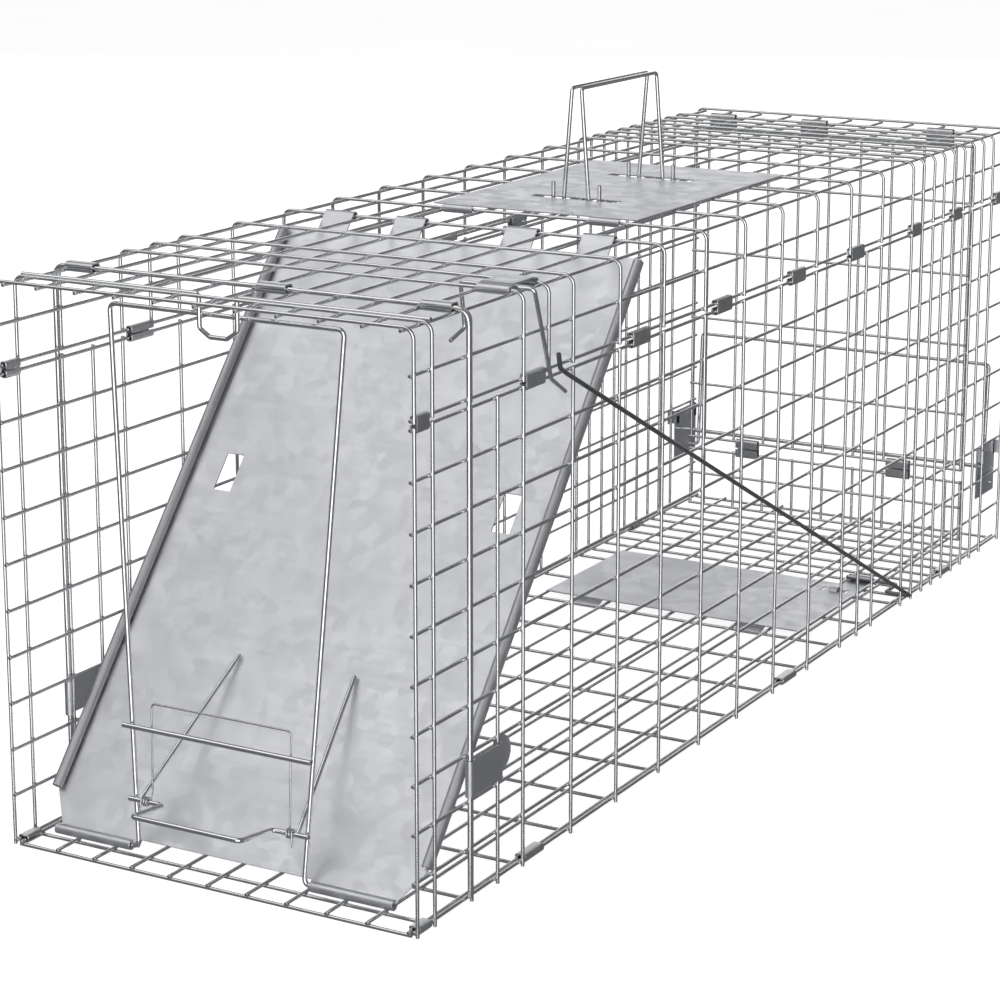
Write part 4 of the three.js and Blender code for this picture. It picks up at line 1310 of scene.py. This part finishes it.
# ---------- the handles ----------
@dataclass
class Handle:
    """The guard plate on the top and the two wire handles that stand through its slots.

    A handle's foot, hook and top are distances from the handles' middle.
    """

    size: float = 2.4
    feet: tuple[float, float] = (358.6, 454.2)
    foot_x: float = 14.9
    hook_x: float = 8.5
    top_x: float = 3.0
    foot_z: float = 304.0
    peak: float = 358.8
    guard_half: float = 65.0
    guard_rear: float = 505.0
    guard_cells: tuple[int, int] = (-2, 2)
    crown: float = 0.25
    slot_half: float = 28.0
    slot_reach: float = 4.0

    @property
    def x(self) -> float:
        """The handles' middle, over a gap between two long wires."""
        return T.cell(0)

    def guard(self) -> list[Skin]:
        """The guard: a plate with two slots and two curls round the hoop in front."""
        level, front = T.height + T.wrap, T.y(6 * T.pitch)
        slots = [(T.y(s) - self.slot_reach, T.y(s) + self.slot_reach) for s in self.feet]
        rows = np.unique([*np.linspace(front + 3, T.y(self.guard_rear), 25), *np.ravel(slots)])
        columns = np.unique([
            *np.linspace(-self.guard_half, self.guard_half, 17), -self.slot_half, self.slot_half,
        ])
        x, y = np.meshgrid(columns, rows, indexing="ij")
        along = (y - rows[0]) / (rows[-1] - rows[0])
        crown = self.crown * np.sin(np.pi * along) * np.cos(np.pi * x / (2 * self.guard_half))
        mid_x, mid_y = cell_middles(columns, rows)
        over_slot = np.any([(mid_y > start) & (mid_y < stop) for start, stop in slots], axis=0)
        hole = (np.abs(mid_x) < self.slot_half) & over_slot
        flat = [[front + 2.5, level], [front + 5, level]]
        roll = np.vstack([arc((front, T.hoop_z), T.curl, 300, 100), flat])
        return [
            slab(np.stack([x + self.x, y, level + crown], -1), UP, keep=~hole),
            *[strip(roll, Run.X, T.tab(cell)) for cell in self.guard_cells],
        ]

    def wire(self, way: int) -> Skin:
        """One handle: each end hooks under its own long wire."""
        foot, hook_x, top = (self.x + way * x for x in (self.foot_x, self.hook_x, self.top_x))
        hook = T.height - 2 * T.wire - 0.5 - self.size / 2
        front, rear = (T.y(s) for s in self.feet)
        ends = [[[foot, y, self.foot_z], [foot, y, hook], [hook_x, y, hook]] for y in (front, rear)]
        path = [*ends[0], [top, front, self.peak], [top, rear, self.peak], *ends[1][::-1]]
        return rod(bent(path, 2.8), self.size, 18)

    def build(self, shop: Workshop) -> None:
        """Makes the guard and both handles."""
        shop.place("handle_guard_sheet", self.guard(), Slot.SHEET, "cage", "handle_guard", EDGE_ROUNDING)
        for side, way in SIDES:
            body = f"{side}_handle"
            shop.place(f"{body}_rod", [self.wire(way)], Slot.BRIGHT_ROD, body, body)


# ---------- studio ----------
@dataclass(frozen=True)
class Lamp:
    """A soft rectangular light: its place and size in metres and its power in watts."""

    name: str
    place: tuple[float, float, float]
    size: tuple[float, float]
    power: float


@dataclass
class Studio:
    """A pale floor, soft lights and the camera."""

    eye: tuple[float, float, float] = (760.7, -1457.9, 542.5)
    yaw: float = 29.55
    pitch: float = 12.51
    lens: float = 100.96
    shift: float = -0.12
    glow: float = 0.95
    world: float = 0.16
    floor_reach: float = 14.0
    aim: tuple[float, float, float] = (0, 0, 0.12)
    lamps: tuple[Lamp, ...] = (
        Lamp("overhead", (-1.0, -1.1, 2.1), (2.2, 2.2), 15),
        Lamp("front", (1.3, -2.9, 0.5), (3.2, 3.4), 62),
        Lamp("rear", (-1.5, 3.0, 0.9), (3.4, 2.2), 24),
    )

    def floor(self) -> None:
        """A wide pale floor: a level grid just under the trap."""
        side = np.linspace(-self.floor_reach, self.floor_reach, 9)
        x, y = np.meshgrid(side, side, indexing="ij")
        points = np.stack([x, y, np.full_like(x, -0.5 * MM)], -1).reshape(-1, 3)
        index = np.arange(x.size).reshape(x.shape)
        quads = np.stack([index[:-1, :-1], index[1:, :-1], index[1:, 1:], index[:-1, 1:]], -1).reshape(-1, 4)
        mesh = bpy.data.meshes.new("studio_floor")
        mesh.from_pydata(points.tolist(), [], quads.tolist())
        paint = Paint("studio_floor_paint")
        where = paint.node("ShaderNodeTexCoord", {}, {}, "Object")
        tone = paint.mix(paint.noise(where, 3.0), (0.86, 0.86, 0.865, 1), (0.89, 0.89, 0.89, 1))
        mesh.materials.append(paint.close({
            "Base Color": tone, "Roughness": 0.8, "Emission Color": tone, "Emission Strength": self.glow,
        }))
        ground = bpy.data.objects.new("studio_floor", mesh)
        bpy.context.scene.collection.objects.link(ground)
        ground.visible_glossy = False

    def hang(self, lamp: Lamp) -> None:
        """Hangs a lamp and aims it at the trap's middle."""
        light = bpy.data.lights.new(lamp.name, "AREA")
        light.shape = "RECTANGLE"
        light.size, light.size_y = lamp.size
        light.energy = lamp.power
        hung = bpy.data.objects.new(lamp.name, light)
        hung.visible_camera = False
        hung.location = lamp.place
        hung.rotation_euler = (Vector(self.aim) - Vector(lamp.place)).to_track_quat("-Z", "Y").to_euler()
        bpy.context.scene.collection.objects.link(hung)

    def build(self) -> None:
        """Sets the world, the floor, the lights and the camera."""
        scene = bpy.context.scene
        scene.view_settings.view_transform = "Standard"
        world = bpy.data.worlds.new("studio_world")
        world.use_nodes = True
        sky = world.node_tree.nodes["Background"].inputs
        sky["Color"].default_value = (0.9, 0.92, 0.95, 1)
        sky["Strength"].default_value = self.world
        scene.world = world
        self.floor()
        for lamp in self.lamps:
            self.hang(lamp)
        lens = bpy.data.cameras.new("camera")
        lens.lens, lens.sensor_width, lens.shift_y = self.lens, 36, self.shift
        lens.clip_end = 60
        camera = bpy.data.objects.new("camera", lens)
        camera.location = Vector(self.eye) * MM
        camera.rotation_euler = (math.radians(90 - self.pitch), 0, math.radians(self.yaw))
        scene.collection.objects.link(camera)
        scene.camera = camera


def main() -> None:
    """Builds the trap on its frame, sub-assembly by sub-assembly."""
    logging.basicConfig(level=logging.INFO, format="%(message)s")
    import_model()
    Studio().build()
    shop = Workshop()
    door = Door()
    for part in (MeshBox(), PanelClips(), FrontFrame(), door, Lock(door), Trigger(), RearEnd(), Handle()):
        part.build(shop)
        LOG.info("%s finished", type(part).__name__)
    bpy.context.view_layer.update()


if __name__ == "__main__":
    main()
